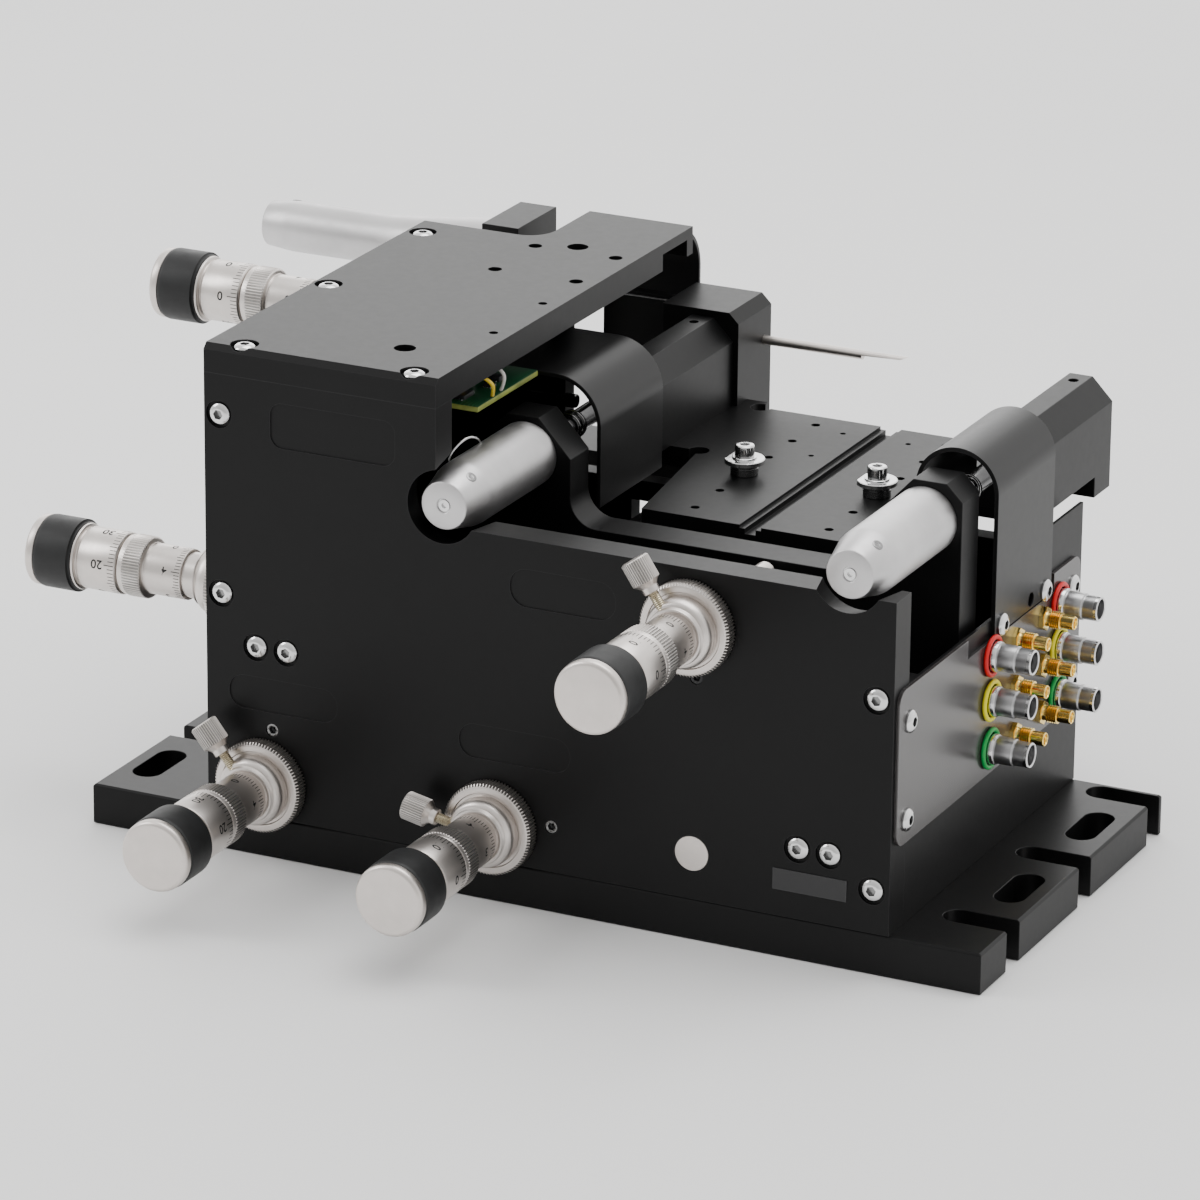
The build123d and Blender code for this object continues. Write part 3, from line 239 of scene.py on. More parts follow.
CHROME = turned_metal("socket_chrome", (0.46, 0.46, 0.465), (0.40, 0.40, 0.405), 0.32, 0.05, 5000)
STEEL = turned_metal("bright_steel", (0.78, 0.78, 0.78), (0.66, 0.66, 0.665), 0.16, 0.08, 6000)
# Dark steel for dark steel parts, also used as painted shade inside the button screws' hex sockets.
DARK_STEEL_AND_SOCKET_SHADE = turned_metal("dark_steel_and_socket_shade", (0.30, 0.30, 0.30), (0.2, 0.2, 0.2), 0.22, 0.1, 6000)
BLACK_CHROME = plain("black_chrome", (0.075, 0.075, 0.077), (0.12, 0.12, 0.122), 0.16, 0.95, 80, 900, 0.05)
GOLD = plain("gold_plate", (0.92, 0.66, 0.18), (0.97, 0.74, 0.26), 0.17, 1.0, 300, 2500, 0.04)
BRASS = turned_metal("brass_thread", (0.62, 0.565, 0.43), (0.45, 0.405, 0.30), 0.25, 0.1, 4000)
RUBBER = plain("grip_rubber", (0.0075, 0.0077, 0.008), (0.015, 0.0155, 0.016), 0.50, 0.0, 120, 2600,
               0.3, 0.35)
INK = plain("engraved_ink", (0.010, 0.010, 0.010), (0.02, 0.02, 0.02), 0.55, 0.0, 300, 2000, 0.1, 0.3)
RED = plain("red_ring", (0.58, 0.006, 0.008), (0.68, 0.010, 0.012), 0.4, 0.0, 400, 2500, 0.05, 0.3)
YELLOW = plain("yellow_ring", (0.82, 0.74, 0.008), (0.90, 0.82, 0.02), 0.4, 0.0, 400, 2500, 0.05, 0.3)
GREEN = plain("green_ring", (0.004, 0.30, 0.055), (0.008, 0.38, 0.075), 0.4, 0.0, 400, 2500, 0.05, 0.3)
MASK = board_material()
# Board edge: the laminate's own yellow-green, dimmed as painted shade where the board lies in shadow.
SHADED_LAMINATE = plain("board_edge_shaded", (0.13, 0.16, 0.03), (0.34, 0.38, 0.08), 0.45, 0.0, 120, 1800, 0.3)
WIRE_YELLOW = plain("wire_yellow", (0.75, 0.52, 0.02), (0.85, 0.62, 0.04), 0.4, 0.0, 300, 2000, 0.1)
WIRE_WHITE = plain("wire_white", (0.62, 0.6, 0.56), (0.75, 0.73, 0.7), 0.4, 0.0, 300, 2000, 0.1)
# Black chip plastic, also used as painted shade inside the set screws' hex sockets and holes.
CHIP_BLACK_AND_SOCKET_SHADE = plain("chip_plastic_and_socket_shade", (0.012, 0.012, 0.013), (0.025, 0.025, 0.027), 0.45, 0.0, 300, 3000, 0.2, 0.4)
SOLDER = plain("solder", (0.6, 0.6, 0.62), (0.75, 0.75, 0.77), 0.25, 1.0, 800, 2500, 0.3)
INSERT = plain("socket_insert", (0.03, 0.03, 0.032), (0.06, 0.06, 0.062), 0.4, 0.0, 500, 2500, 0.1)


# Mesh helpers
def linked(name, data):
    """Object in the scene that holds the given data."""
    item = bpy.data.objects.new(name, data)
    bpy.context.scene.collection.objects.link(item)
    return item


SHARP = math.radians(32)


def to_object(name, verts, faces, materials, indices=None, sharp=SHARP):
    """Mesh object from coordinates in metres."""
    mesh = bpy.data.meshes.new(name)
    mesh.from_pydata(verts, [], faces)
    for material in materials:
        mesh.materials.append(material)
    if indices:
        mesh.polygons.foreach_set("material_index", indices)
    mesh.polygons.foreach_set("use_smooth", [True] * len(mesh.polygons))
    mesh.validate()
    mesh.update()
    mesh.set_sharp_from_angle(angle=sharp)
    return linked(name, mesh)


def put(item, body, matrix=None, replaces=()):
    """Gives a finished piece its place and the body that it rides on."""
    if matrix is not None:
        item.matrix_world = matrix
    if replaces:
        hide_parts(*replaces)
    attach(item, body)
    return item


TOOTH = (0, 0.06, 1, 0.94)
TOOTH_STEPS = len(TOOTH)


def toothed(ring):
    return len(ring) > 2 and isinstance(ring[2], float)


def ring_radius(ring, i, seg):
    """Radius of one vertex of a ring: (z, r), (z, r, depth) for teeth or (z, r, 'hex')."""
    radius = ring[1]
    if len(ring) > 2 and ring[2] == "hex":
        angle = (i * TAU / seg) % (TAU / 6)
        return radius / math.cos(angle - TAU / 12)
    if toothed(ring):
        return radius - ring[2] * TOOTH[i % TOOTH_STEPS]
    return radius


def spin(name, rings, seg, materials, sharp=SHARP, valley=None):
    """Solid of revolution round local Z from rings (z, r, teeth or hex or None, material index), in mm.

    Tooth valleys take the material with the index valley, a darker metal that paints shade into them."""
    verts, faces, indices = [], [], []
    rows = []
    for ring in rings:
        if ring[1] <= 0:
            rows.append([len(verts)])
            verts.append((0, 0, ring[0] * MM))
            continue
        rows.append(list(range(len(verts), len(verts) + seg)))
        for i in range(seg):
            r = ring_radius(ring, i, seg) * MM
            t = i * TAU / seg
            verts.append((r * math.cos(t), r * math.sin(t), ring[0] * MM))
    for k in range(len(rows) - 1):
        low, high = rows[k], rows[k + 1]
        index = rings[k + 1][3] if len(rings[k + 1]) > 3 else 0
        teeth = valley is not None and toothed(rings[k]) and toothed(rings[k + 1])
        for i in range(seg):
            j = (i + 1) % seg
            if len(low) == 1 and len(high) == 1:
                break
            if len(low) == 1:
                faces.append((low[0], high[j], high[i]))
            elif len(high) == 1:
                faces.append((low[i], low[j], high[0]))
            else:
                faces.append((low[i], low[j], high[j], high[i]))
            indices.append(valley if teeth and i % TOOTH_STEPS in (1, 2) else index)
    item = to_object(name, verts, faces, materials, indices, sharp)
    mesh = item.data
    work = bmesh.new()
    work.from_mesh(mesh)
    bmesh.ops.recalc_face_normals(work, faces=work.faces)
    work.to_mesh(mesh)
    work.free()
    mesh.set_sharp_from_angle(angle=sharp)
    return item


def join(name, items):
    """Several mesh objects baked into one, in world coordinates of their matrices."""
    work = bmesh.new()
    materials = []
    for item in items:
        offset = {}
        for k, material in enumerate(item.data.materials):
            if material not in materials:
                materials.append(material)
            offset[k] = materials.index(material)
        start = len(work.faces)
        work.from_mesh(item.data)
        work.verts.ensure_lookup_table()
        work.faces.ensure_lookup_table()
        fresh = work.faces[start:]
        for face in fresh:
            face.material_index = offset.get(face.material_index, 0)
        moved = {v for face in fresh for v in face.verts}
        bmesh.ops.transform(work, matrix=item.matrix_world, verts=list(moved))
    mesh = bpy.data.meshes.new(name)
    work.to_mesh(mesh)
    work.free()
    for material in materials:
        mesh.materials.append(material)
    mesh.set_sharp_from_angle(angle=SHARP)
    for item in items:
        old = item.data
        bpy.data.objects.remove(item)
        bpy.data.meshes.remove(old)
    return linked(name, mesh)


def softened(node, body, material, width=0.22):
    """Copy of a CAD node with its edges broken, which stands for it."""
    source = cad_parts[node]
    mesh = source.data.copy()
    mesh.name = node + "_body"
    work = bmesh.new()
    work.from_mesh(mesh)
    bmesh.ops.remove_doubles(work, verts=work.verts, dist=2e-6)
    bmesh.ops.dissolve_limit(work, angle_limit=math.radians(0.6), verts=work.verts, edges=work.edges)
    bmesh.ops.recalc_face_normals(work, faces=work.faces)
    work.to_mesh(mesh)
    work.free()
    mesh.materials.clear()
    mesh.materials.append(material)
    mesh.polygons.foreach_set("use_smooth", [True] * len(mesh.polygons))
    mesh.polygons.foreach_set("material_index", [0] * len(mesh.polygons))
    mesh.update()
    item = linked(node + "_body", mesh)
    bevel = item.modifiers.new("edges", "BEVEL")
    bevel.width = width * MM
    bevel.segments = 2
    bevel.limit_method = "ANGLE"
    bevel.angle_limit = math.radians(28)
    bevel.use_clamp_overlap = True
    bevel.miter_outer = "MITER_ARC"
    bevel.harden_normals = True
    normals = item.modifiers.new("normals", "WEIGHTED_NORMAL")
    normals.keep_sharp = True
    return put(item, body, replaces=(node,))


def keep(node, material):
    """CAD node shown as it is, with a finished material."""
    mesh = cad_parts[node].data
    mesh.materials.clear()
    mesh.materials.append(material)


def meshed(name, curve):
    """Mesh of a curve, which is deleted."""
    item = linked(name, curve)
    mesh = bpy.data.meshes.new_from_object(item.evaluated_get(bpy.context.evaluated_depsgraph_get()))
    bpy.data.objects.remove(item)
    bpy.data.curves.remove(curve)
    return mesh


def tube(name, points, radius, material, body):
    """Smooth round wire through points in mm."""
    curve = bpy.data.curves.new(name, "CURVE")
    curve.dimensions = "3D"
    curve.bevel_depth = radius * MM
    curve.bevel_resolution = 3
    curve.resolution_u = 8
    curve.use_fill_caps = True
    spline = curve.splines.new("NURBS")
    spline.points.add(len(points) - 1)
    for point, spot in zip(spline.points, points):
        point.co = (spot[0] * MM, spot[1] * MM, spot[2] * MM, 1)
    spline.order_u = 3
    spline.use_endpoint_u = True
    curve.materials.append(material)
    mesh = meshed(name, curve)
    return put(linked(name + "_wire", mesh), body)


def block(x0, x1, y0, y1, z0, z1, material, bevel):
    """Box with broken edges between two corners, in mm."""
    work = bmesh.new()
    bmesh.ops.create_cube(work, size=1)
    bmesh.ops.scale(work, vec=Vector((x1 - x0, y1 - y0, z1 - z0)) * MM, verts=work.verts)
    bmesh.ops.translate(work, vec=Vector((x0 + x1, y0 + y1, z0 + z1)) * MM / 2, verts=work.verts)
    bmesh.ops.bevel(work, geom=work.edges[:], offset=bevel * MM, segments=2, affect="EDGES", profile=0.5)
    mesh = bpy.data.meshes.new("block")
    work.to_mesh(mesh)
    work.free()
    mesh.materials.append(material)
    return linked("block", mesh)


def place(x, y, z, side="up"):
    """Frame at a point in mm whose local Z points out of the named side."""
    turns = {
        "up": Matrix.Identity(4),
        "front": Matrix.Rotation(math.radians(90), 4, "X"),
        "back": Matrix.Rotation(math.radians(-90), 4, "X"),
        "left": Matrix.Rotation(math.radians(-90), 4, "Y"),
        "right": Matrix.Rotation(math.radians(90), 4, "Y"),
        "down": Matrix.Rotation(math.radians(180), 4, "X"),
    }
    return Matrix.Translation(Vector((x, y, z)) * MM) @ turns[side]


# Faces and stations of the CAD part, in mm
FRONT_FACE, BACK_FACE, LEFT_FACE = -64, 64, -96.5
COVER_TOP, DECK = 144.5, 92.5
PANEL_FACE, GUARD_FACE = 107.7, 107.9

# Housing and moving plates
HOUSING_PLATES = ("base_plate", "front_plate", "left_wall", "back_wall", "right_wall", "top_cover")
for node in HOUSING_PLATES:
    softened(node, "housing", BLACK)
for node in ("left_guard", "right_guard", "rear_guard"):
    softened(node, "housing", BLACK_SHEET, 0.15)
softened("connector_panel", "housing", PANEL, 0.15)
for node in ("cradle_frame", "rear_bracket"):
    softened(node, "lift", BLACK)
for node in ("platform", "left_arm", "right_arm", "rear_block"):
    softened(node, "roll", BLACK)
for node in ("longitudinal_carriage", "lateral_carriage", "vertical_carriage"):
    keep(node, CARRIAGE)
for node in ("yaw_shell", "pitch_shell", "roll_seat"):
    keep(node, DARK_STEEL_AND_SOCKET_SHADE)


# Drives
RING_R, RING_L, NUT_BORE = 13.0, 5.0, 8.1
RING_TEETH, KNURL_TEETH, LOCK_TEETH = 88, 64, 36
COLLAR_L, COLLAR_R, LIP_R = 6.0, 9.7, 7.9
SLEEVE_R = 6.4
SPINDLE_R, SPINDLE_BORE = 3.0, 3.08
BARREL_R, BARREL_L = 7.15, 12.0
KNURL_R, KNURL_L = 8.7, 7.4
HUB_R = 4.0
THIMBLE_R, THIMBLE_L = 8.75, 12.0
FLANGE_L = 1.9
CORE_R, GRIP_R, GRIP_L = 9.0, 10.25, 11.8
CAP_R, CAP_L = 10.0, 3.1
GAP = 0.25
LOCK_STATION = 3.4
# Place of each drive, height of its stand, gap at its collar, angle of its lock screw, thickness of its wall
# and angles of the two zero marks
DRIVES = {
    "optical": (place(48.4, FRONT_FACE, 88.5, "front"), 0.0, 2.2, 124, 9.5, 70, 4),
    "yaw": (place(-9.0, FRONT_FACE, 22.0, "front"), 0.0, 2.2, 168, 9.5, 144, 358),
    "pitch": (place(-79.0, FRONT_FACE, 21.5, "front"), 0.0, 2.2, 129, 9.5, 83, 229),
    "roll": (place(LEFT_FACE, -37, 67, "left"), 4.5, 4.0, 60, 6.0, 2, 137),
    "lateral": (place(LEFT_FACE, 34.5, 125, "left"), 4.5, 4.0, 150, 6.0, 77, 280),
    "vertical": (place(-70, BACK_FACE, 38, "back"), 0.0, 2.2, 60, 6.0, 40, 150),
}
TICK_WIDTHS = (0.21, 0.22, 0.25)
INK_HEIGHT, INK_DEPTH = 0.012, 0.12


def digits(text, height):
    """Flat mesh of a number, centred, in mm."""
    curve = bpy.data.curves.new("digits", "FONT")
    curve.body = text
    curve.size = height / 0.72
    curve.offset = height * 0.022
    curve.align_x = "CENTER"
    curve.align_y = "CENTER"
    curve.resolution_u = 3
    mesh = meshed("digits", curve)
    verts = [v.co.copy() for v in mesh.vertices]
    faces = [tuple(p.vertices) for p in mesh.polygons]
    bpy.data.meshes.remove(mesh)
    return verts, faces


def wrap_prism(verts, faces, radius, angle, along):
    """Thin raised copy of a flat shape bent round a barrel; its X runs outwards along the axis."""
    out_v, out_f = [], []
    count = len(verts)
    for lift in (INK_HEIGHT, -INK_DEPTH):
        for v in verts:
            t = angle - v[1] / radius
            r = (radius + lift) * MM
            out_v.append((r * math.cos(t), r * math.sin(t), (along + v[0]) * MM))
    edges = {}
    for face in faces:
        out_f.append(tuple(face))
        out_f.append(tuple(count + i for i in reversed(face)))
        for a, b in zip(face, face[1:] + face[:1]):
            edges[(a, b)] = edges.get((a, b), 0) + 1
    for a, b in edges:
        if (b, a) not in edges:
            out_f.append((b, a, count + a, count + b))
    return out_v, out_f


def scale_marks(name, radius, start, labels, zero, size, lengths, divisions=50, major=10):
    """Engraved graduations and numbers round a barrel, as one thin mesh."""
    verts, faces = [], []

    def take(shape):
        base = len(verts)
        verts.extend(shape[0])
        faces.extend(tuple(base + i for i in f) for f in shape[1])

    for k in range(divisions):
        angle = zero + k * TAU / divisions
        rank = 2 if k % major == 0 else 1 if k % (major // 2) == 0 else 0
        length, wide = lengths[rank], TICK_WIDTHS[rank]
        tick = [(0, -wide / 2), (length, -wide / 2), (length, wide / 2), (0, wide / 2)]
        take(wrap_prism(tick, [(0, 1, 2, 3)], radius, angle, start))
        if k % major == 0:
            number, flat = digits(labels[k // major], size)
            middle = start + lengths[2] + 1.1 + size * 0.45
            take(wrap_prism([(v.x, v.y) for v in number], flat, radius, angle, middle))
    return to_object(name, verts, faces, [INK])


def make_drive(name):
    """One drive: returns its fixed ring nut and collar, and puts its moving pieces on their bodies."""
    matrix, stand, gap, lock, wall, coarse_zero, fine_zero = DRIVES[name]
    top = stand + RING_L
    nut_rings = [
        (stand, NUT_BORE), (stand, RING_R - 0.9), (stand + 0.35, RING_R - 0.55), (stand + 0.4, RING_R, 0.5),
        (top - 0.85, RING_R, 0.5), (top - 0.2, RING_R - 0.6, 0.12), (top - 0.1, RING_R - 0.85),
        (top, RING_R - 1.15, None, 1), (top, COLLAR_R + 0.95, None, 1),
        (top - 0.25, COLLAR_R + 0.75, None, 1), (top - 0.45, COLLAR_R + 0.7), (top - 0.45, NUT_BORE),
        (stand, NUT_BORE),
    ]
    nut = spin(name + "_ring_nut", nut_rings, RING_TEETH * TOOTH_STEPS, [NICKEL, NICKEL_FACE, VALLEY_SHADE],
               valley=2)
    nut.matrix_world = matrix
    if stand:
        spacer_rings = [(0, NUT_BORE), (0, RING_R - 2.5), (stand, RING_R - 2.5), (stand, NUT_BORE),
                        (0, NUT_BORE)]
        spacer = spin(name + "_spacer", spacer_rings, 96, [NICKEL])
        spacer.matrix_world = matrix
        nut = join(name + "_ring_nut", [nut, spacer])
    lip = top + COLLAR_L
    dome = [(top - 0.4, COLLAR_R - 0.35), (top + 0.15, COLLAR_R)]
    for k in range(9):
        t = k / 8 * math.pi / 2
        dome.append((top + 1.9 + 2.7 * math.sin(t), LIP_R + 0.15 + (COLLAR_R - LIP_R - 0.15) * math.cos(t)))
    sleeve_end = lip + gap + BARREL_L - 3
    collar_rings = [(-wall, SPINDLE_BORE), (-wall, 7.95), (top - 0.4, 7.95)] + dome + [
        (lip - 0.75, LIP_R - 0.25), (lip - 0.55, LIP_R - 0.1), (lip - 0.3, LIP_R), (lip - 0.1, LIP_R - 0.1),
        (lip, LIP_R - 0.35), (lip, LIP_R - 0.8), (lip - 0.3, SLEEVE_R + 0.35), (lip - 0.3, SLEEVE_R),
        (sleeve_end, SLEEVE_R), (sleeve_end, SPINDLE_BORE), (-wall, SPINDLE_BORE),
    ]
    collar = spin(name + "_collar", collar_rings, 128, [NICKEL])
    collar.matrix_world = matrix

    start = lip + gap
    step = start + BARREL_L
    end = step + KNURL_L
    bore = SLEEVE_R + 0.08
    inner = -wall - 12
    if name == "optical":
        inner = -50 + 2 + GAP
    coarse_rings = [
        (inner, 0), (inner, 1.8), (inner + 1.2, SPINDLE_R), (step + 0.5, SPINDLE_R), (step + 0.5, bore),
        (start + 0.1, bore), (start, bore + 0.1), (start, BARREL_R - 0.15), (start + 0.12, BARREL_R - 0.03),
        (start + 0.3, BARREL_R), (step - 0.25, BARREL_R), (step - 0.05, BARREL_R + 0.15),
        (step, BARREL_R + 0.4), (step, KNURL_R - 0.65),
        (step + 0.12, KNURL_R - 0.4), (step + 0.4, KNURL_R - 0.12, 0.14), (step + 0.55, KNURL_R, 0.3),
        (end - 1.75, KNURL_R, 0.3), (end - 1.6, KNURL_R - 0.15, 0.1), (end - 1.5, KNURL_R - 0.26),
        (end - 0.35, KNURL_R - 0.26), (end - 0.1, KNURL_R - 0.36), (end, KNURL_R - 0.6), (end, HUB_R),
        (end + THIMBLE_L - 1, HUB_R), (end + THIMBLE_L - 1, 0),
    ]
    coarse = spin(name + "_coarse", coarse_rings, KNURL_TEETH * TOOTH_STEPS, [NICKEL, VALLEY_SHADE], valley=1)
    put(coarse, name + "_coarse", matrix, (name + "_coarse_thimble",))
    marks = scale_marks(name + "_coarse_scale", BARREL_R, start + 0.35, "01234",
                        math.radians(coarse_zero), 2.4, (1.7, 2.1, 2.6))
    put(marks, name + "_coarse", matrix)

    first = end + GAP
    groove = first + THIMBLE_L
    core = groove + FLANGE_L
    grip_end = core + GRIP_L
    last = grip_end + CAP_L
    fine_rings = [
        (first + THIMBLE_L - 0.6, 0), (first + THIMBLE_L - 0.6, HUB_R + 0.08), (first, HUB_R + 0.08),
        (first, THIMBLE_R - 0.55), (first + 0.15, THIMBLE_R - 0.25), (first + 0.5, THIMBLE_R),
        (groove - 0.1, THIMBLE_R), (groove + 0.05, THIMBLE_R - 0.08), (groove + 0.25, THIMBLE_R - 0.5),
        (groove + 0.45, THIMBLE_R - 0.6), (groove + 0.75, THIMBLE_R - 0.6), (groove + 0.95, THIMBLE_R - 0.45),
        (groove + 1.1, THIMBLE_R + 0.25), (groove + 1.25, THIMBLE_R + 0.5), (groove + 1.5, THIMBLE_R + 0.6),
        (core - 0.1, THIMBLE_R + 0.6), (core, THIMBLE_R + 0.45), (core, CORE_R), (grip_end, CORE_R),
        (grip_end, CAP_R - 0.15, None, 1), (grip_end + 0.1, CAP_R - 0.03, None, 1),
        (grip_end + 0.3, CAP_R, None, 1),
    ]
    for k in range(1, 8):
        t = k / 7 * math.pi / 2
        fine_rings.append((last - 1.7 + 1.35 * math.sin(t), CAP_R - 1.35 + 1.35 * math.cos(t), None, 1))
    fine_rings += [(last - 0.2, CAP_R * 0.7, None, 1), (last - 0.06, CAP_R * 0.4, None, 1),
                   (last, 0, None, 1)]
    fine = spin(name + "_fine", fine_rings, 128, [NICKEL, NICKEL_FACE])
    put(fine, name + "_fine", matrix, (name + "_fine_knob",))
    marks = scale_marks(name + "_fine_scale", THIMBLE_R, first + 0.55, ("0", "10", "20", "30", "40"),
                        math.radians(fine_zero), 2.6, (1.9, 2.4, 3.0))
    put(marks, name + "_fine", matrix)
    grip_rings = [(core, CORE_R), (core, GRIP_R - 1.1), (core + 0.1, GRIP_R - 0.85)]
    for k in range(1, 6):
        t = k / 5 * math.pi / 2
        grip_rings.append((core + 0.1 + 0.9 * math.sin(t) * 0.9, GRIP_R - 0.85 + 0.85 * (1 - math.cos(t))))
    grip_rings += [(core + 1.6, GRIP_R), (grip_end - 1.2, GRIP_R), (grip_end - 0.5, GRIP_R - 0.12),
                   (grip_end - 0.12, GRIP_R - 0.35), (grip_end, GRIP_R - 0.75), (grip_end, CORE_R),
                   (core, CORE_R)]
    grip = spin(name + "_grip_sleeve", grip_rings, 128, [RUBBER])
    put(grip, name + "_fine", matrix, (name + "_grip",))

    thread = []
    for k in range(11):
        z = 7.2 + k * 0.52
        thread += [(z, 1.25, None, 1), (z + 0.26, 1.45, None, 1)]
    lock_rings = [(7.2, 0)] + thread + [
        (12.9, 1.3, None, 1), (12.9, 2.1), (13.05, 2.3), (14.6, 2.3), (15.4, 2.9), (15.9, 3.45),
        (16.05, 3.7, 0.10), (16.25, 3.9, 0.28), (22.35, 3.9, 0.28), (22.55, 3.7, 0.10), (22.7, 3.5),
        (22.8, 3.2), (22.8, 0),
    ]
    screw = spin(name + "_lock", lock_rings, LOCK_TEETH * TOOTH_STEPS, [NICKEL, BRASS, VALLEY_SHADE], valley=2)
    seat = matrix @ Matrix.Translation((0, 0, (stand + RING_L + LOCK_STATION) * MM))
    seat = seat @ Matrix.Rotation(math.radians(lock), 4, "Z") @ Matrix.Rotation(math.radians(90), 4, "Y")
    put(screw, name + "_lock", seat, (name + "_lock_screw",))
    return nut, collar


nuts, collars = [], []
for drive in DRIVES:
    nut, collar = make_drive(drive)
    nuts.append(nut)
    collars.append(collar)
put(join("ring_nut_set", nuts), "housing", replaces=("ring_nuts",))
put(join("collar_set", collars), "housing", replaces=("drive_collars",))


# Pivot cylinders
EAR_X = (-24.8, 92.8)
CYLINDER_Z = 109.5
FRONT_LENGTH, REAR_LENGTH = 49.0, 75.5
FRONT_PROFILE = [(0, 0), (0, 8.95), (0.25, 9.2), (36, 9.2), (37.4, 9.16), (38.4, 9.05), (39.2, 8.85),
                 (48.5, 6.78), (48.85, 6.6), (49, 6.35)]
REAR_PROFILE = [(0, 0), (0, 11.4), (0.3, 11.7)]
for k in range(1, 11):
    REAR_PROFILE.append((k * 3.7, 7.5 + 4.2 * (1 - k / 10) ** 1.15))
REAR_PROFILE += [(66.8, 7.5), (68.2, 7.42), (75.0, 6.7), (75.35, 6.5), (75.5, 6.25)]


def pivot_cylinder(name, length, profile, matrix, hole_angle, hole_radius, slope):
    """Turned cylinder with a stud in its end and a set screw in its nose."""
    rings = profile + [
        (length, 2.15), (length - 0.15, 2.0), (length - 0.6, 2.0), (length - 0.6, 1.75, None, 1),
        (length - 0.25, 1.6, None, 1), (length - 0.25, 0.75, None, 1), (length - 0.9, 0.6, None, 1),
        (length - 0.9, 0, None, 1)]
    body = spin(name, rings, 128, [SILVER, STEEL], math.radians(26))
    body.matrix_world = matrix
    cup_rings = [(0.03, 0), (0.03, 0.62), (0.05, 0.75), (0.12, 0.8), (0.12, 1.35), (0.05, 1.5),
                 (-0.6, 1.5), (-0.6, 0)]
    cup = spin(name + "_cup", cup_rings, 36, [DARK_STEEL_AND_SOCKET_SHADE])
    tilt = Matrix.Rotation(math.radians(hole_angle), 4, "Z")
    tilt = tilt @ Matrix.Translation((0, 0, (length - 7) * MM)) @ Matrix.Translation((hole_radius * MM, 0, 0))
    cup.matrix_world = matrix @ tilt @ Matrix.Rotation(math.radians(90 - slope), 4, "Y")
    return [body, cup]


cylinders = []
for x in EAR_X:
    seat = place(x, -14, CYLINDER_Z, "front")
    cylinders += pivot_cylinder("front_cylinder", FRONT_LENGTH, FRONT_PROFILE, seat, 55, 8.22, 12.5)
seat = place(-94, 108, 122.3, "left")
cylinders += pivot_cylinder("rear_cylinder", REAR_LENGTH, REAR_PROFILE, seat, 25, 7.38, 6)
put(join("cylinder_set", cylinders), "lift", replaces=("pivot_cylinders",))


# Screws
def button_screw(matrix):
    """Button-head screw with a hex socket, turned by chance."""
    rings = [(0, 0), (0, 3.0), (0.1, 3.1), (0.55, 3.1), (0.85, 2.9), (1.15, 2.5), (1.35, 2.1), (1.5, 1.6),
             (1.48, 1.25, "hex"), (1.3, 1.2, "hex", 1), (0.3, 1.2, "hex", 1), (0.2, 0, None, 1)]
    # The hex socket takes the dark steel, as painted shade in the recess.
    item = spin("screw", rings, 48, [STEEL, DARK_STEEL_AND_SOCKET_SHADE])
    item.matrix_world = matrix @ Matrix.Rotation(rng.random() * TAU, 4, "Z")
    return item


FRONT_SCREWS = [(-92.0, 125.1), (-91.8, 74.2), (-81.3, 60.3), (-72.0, 60.3), (101.8, 76.7), (101.6, 23.5),
                (80.1, 31.3), (89.2, 31.3)]
COVER_SCREWS = [(-86.3, -59.6), (-35.2, -59.6), (-92.0, -1.4), (-91.8, 54.5)]
PANEL_SCREWS = [(-55.8, 69.3), (-56.6, 42.1), (55.6, 71.2), (56.1, 43.2)]
GUARD_SCREWS = [(4.7, 76.5), (34.9, 76.5)]
FRONT_SINK, COVER_SINK = 0.9, 1.4
screws = [button_screw(place(x, FRONT_FACE + FRONT_SINK, z, "front")) for x, z in FRONT_SCREWS]
screws += [button_screw(place(x, y, COVER_TOP - COVER_SINK)) for x, y in COVER_SCREWS]
screws += [button_screw(place(PANEL_FACE, y, z, "right")) for y, z in PANEL_SCREWS]
screws += [button_screw(place(GUARD_FACE, y, z, "right")) for y, z in GUARD_SCREWS]
put(join("screw_set", screws), "housing", replaces=("housing_screws",))

plugs = []
disc = spin("disc", [(-2.9, 0), (-2.9, 4.9), (-0.15, 4.9), (-0.02, 4.8), (0, 4.6), (0, 0)], 96, [NICKEL_FACE])
disc.matrix_world = place(49.5, FRONT_FACE, 24.4, "front")
plugs.append(disc)
for x, z, metal in ((-76.5, 37.1, DARK_STEEL_AND_SOCKET_SHADE), (8.0, 24.3, DARK_STEEL_AND_SOCKET_SHADE), (50.1, 74.1, CHIP_BLACK_AND_SOCKET_SHADE)):
    rings = [(-4.2, 0.9), (-4.2, 1.9), (-0.5, 1.9), (-0.3, 1.75), (-0.25, 1.35), (-0.4, 1.0, "hex"),
             (-1.6, 0.95, "hex", 1), (-1.8, 0.5, None, 1), (-4.2, 0.5, None, 1), (-4.2, 0.9, None, 1)]
    # The hex socket and the hole below it take the black chip plastic, as painted shade in the recess.
    item = spin("set_screw", rings, 48, [metal, CHIP_BLACK_AND_SOCKET_SHADE])
    item.matrix_world = place(x, FRONT_FACE, z, "front")
    plugs.append(item)
put(join("front_plug_set", plugs), "housing", replaces=("front_plugs",))


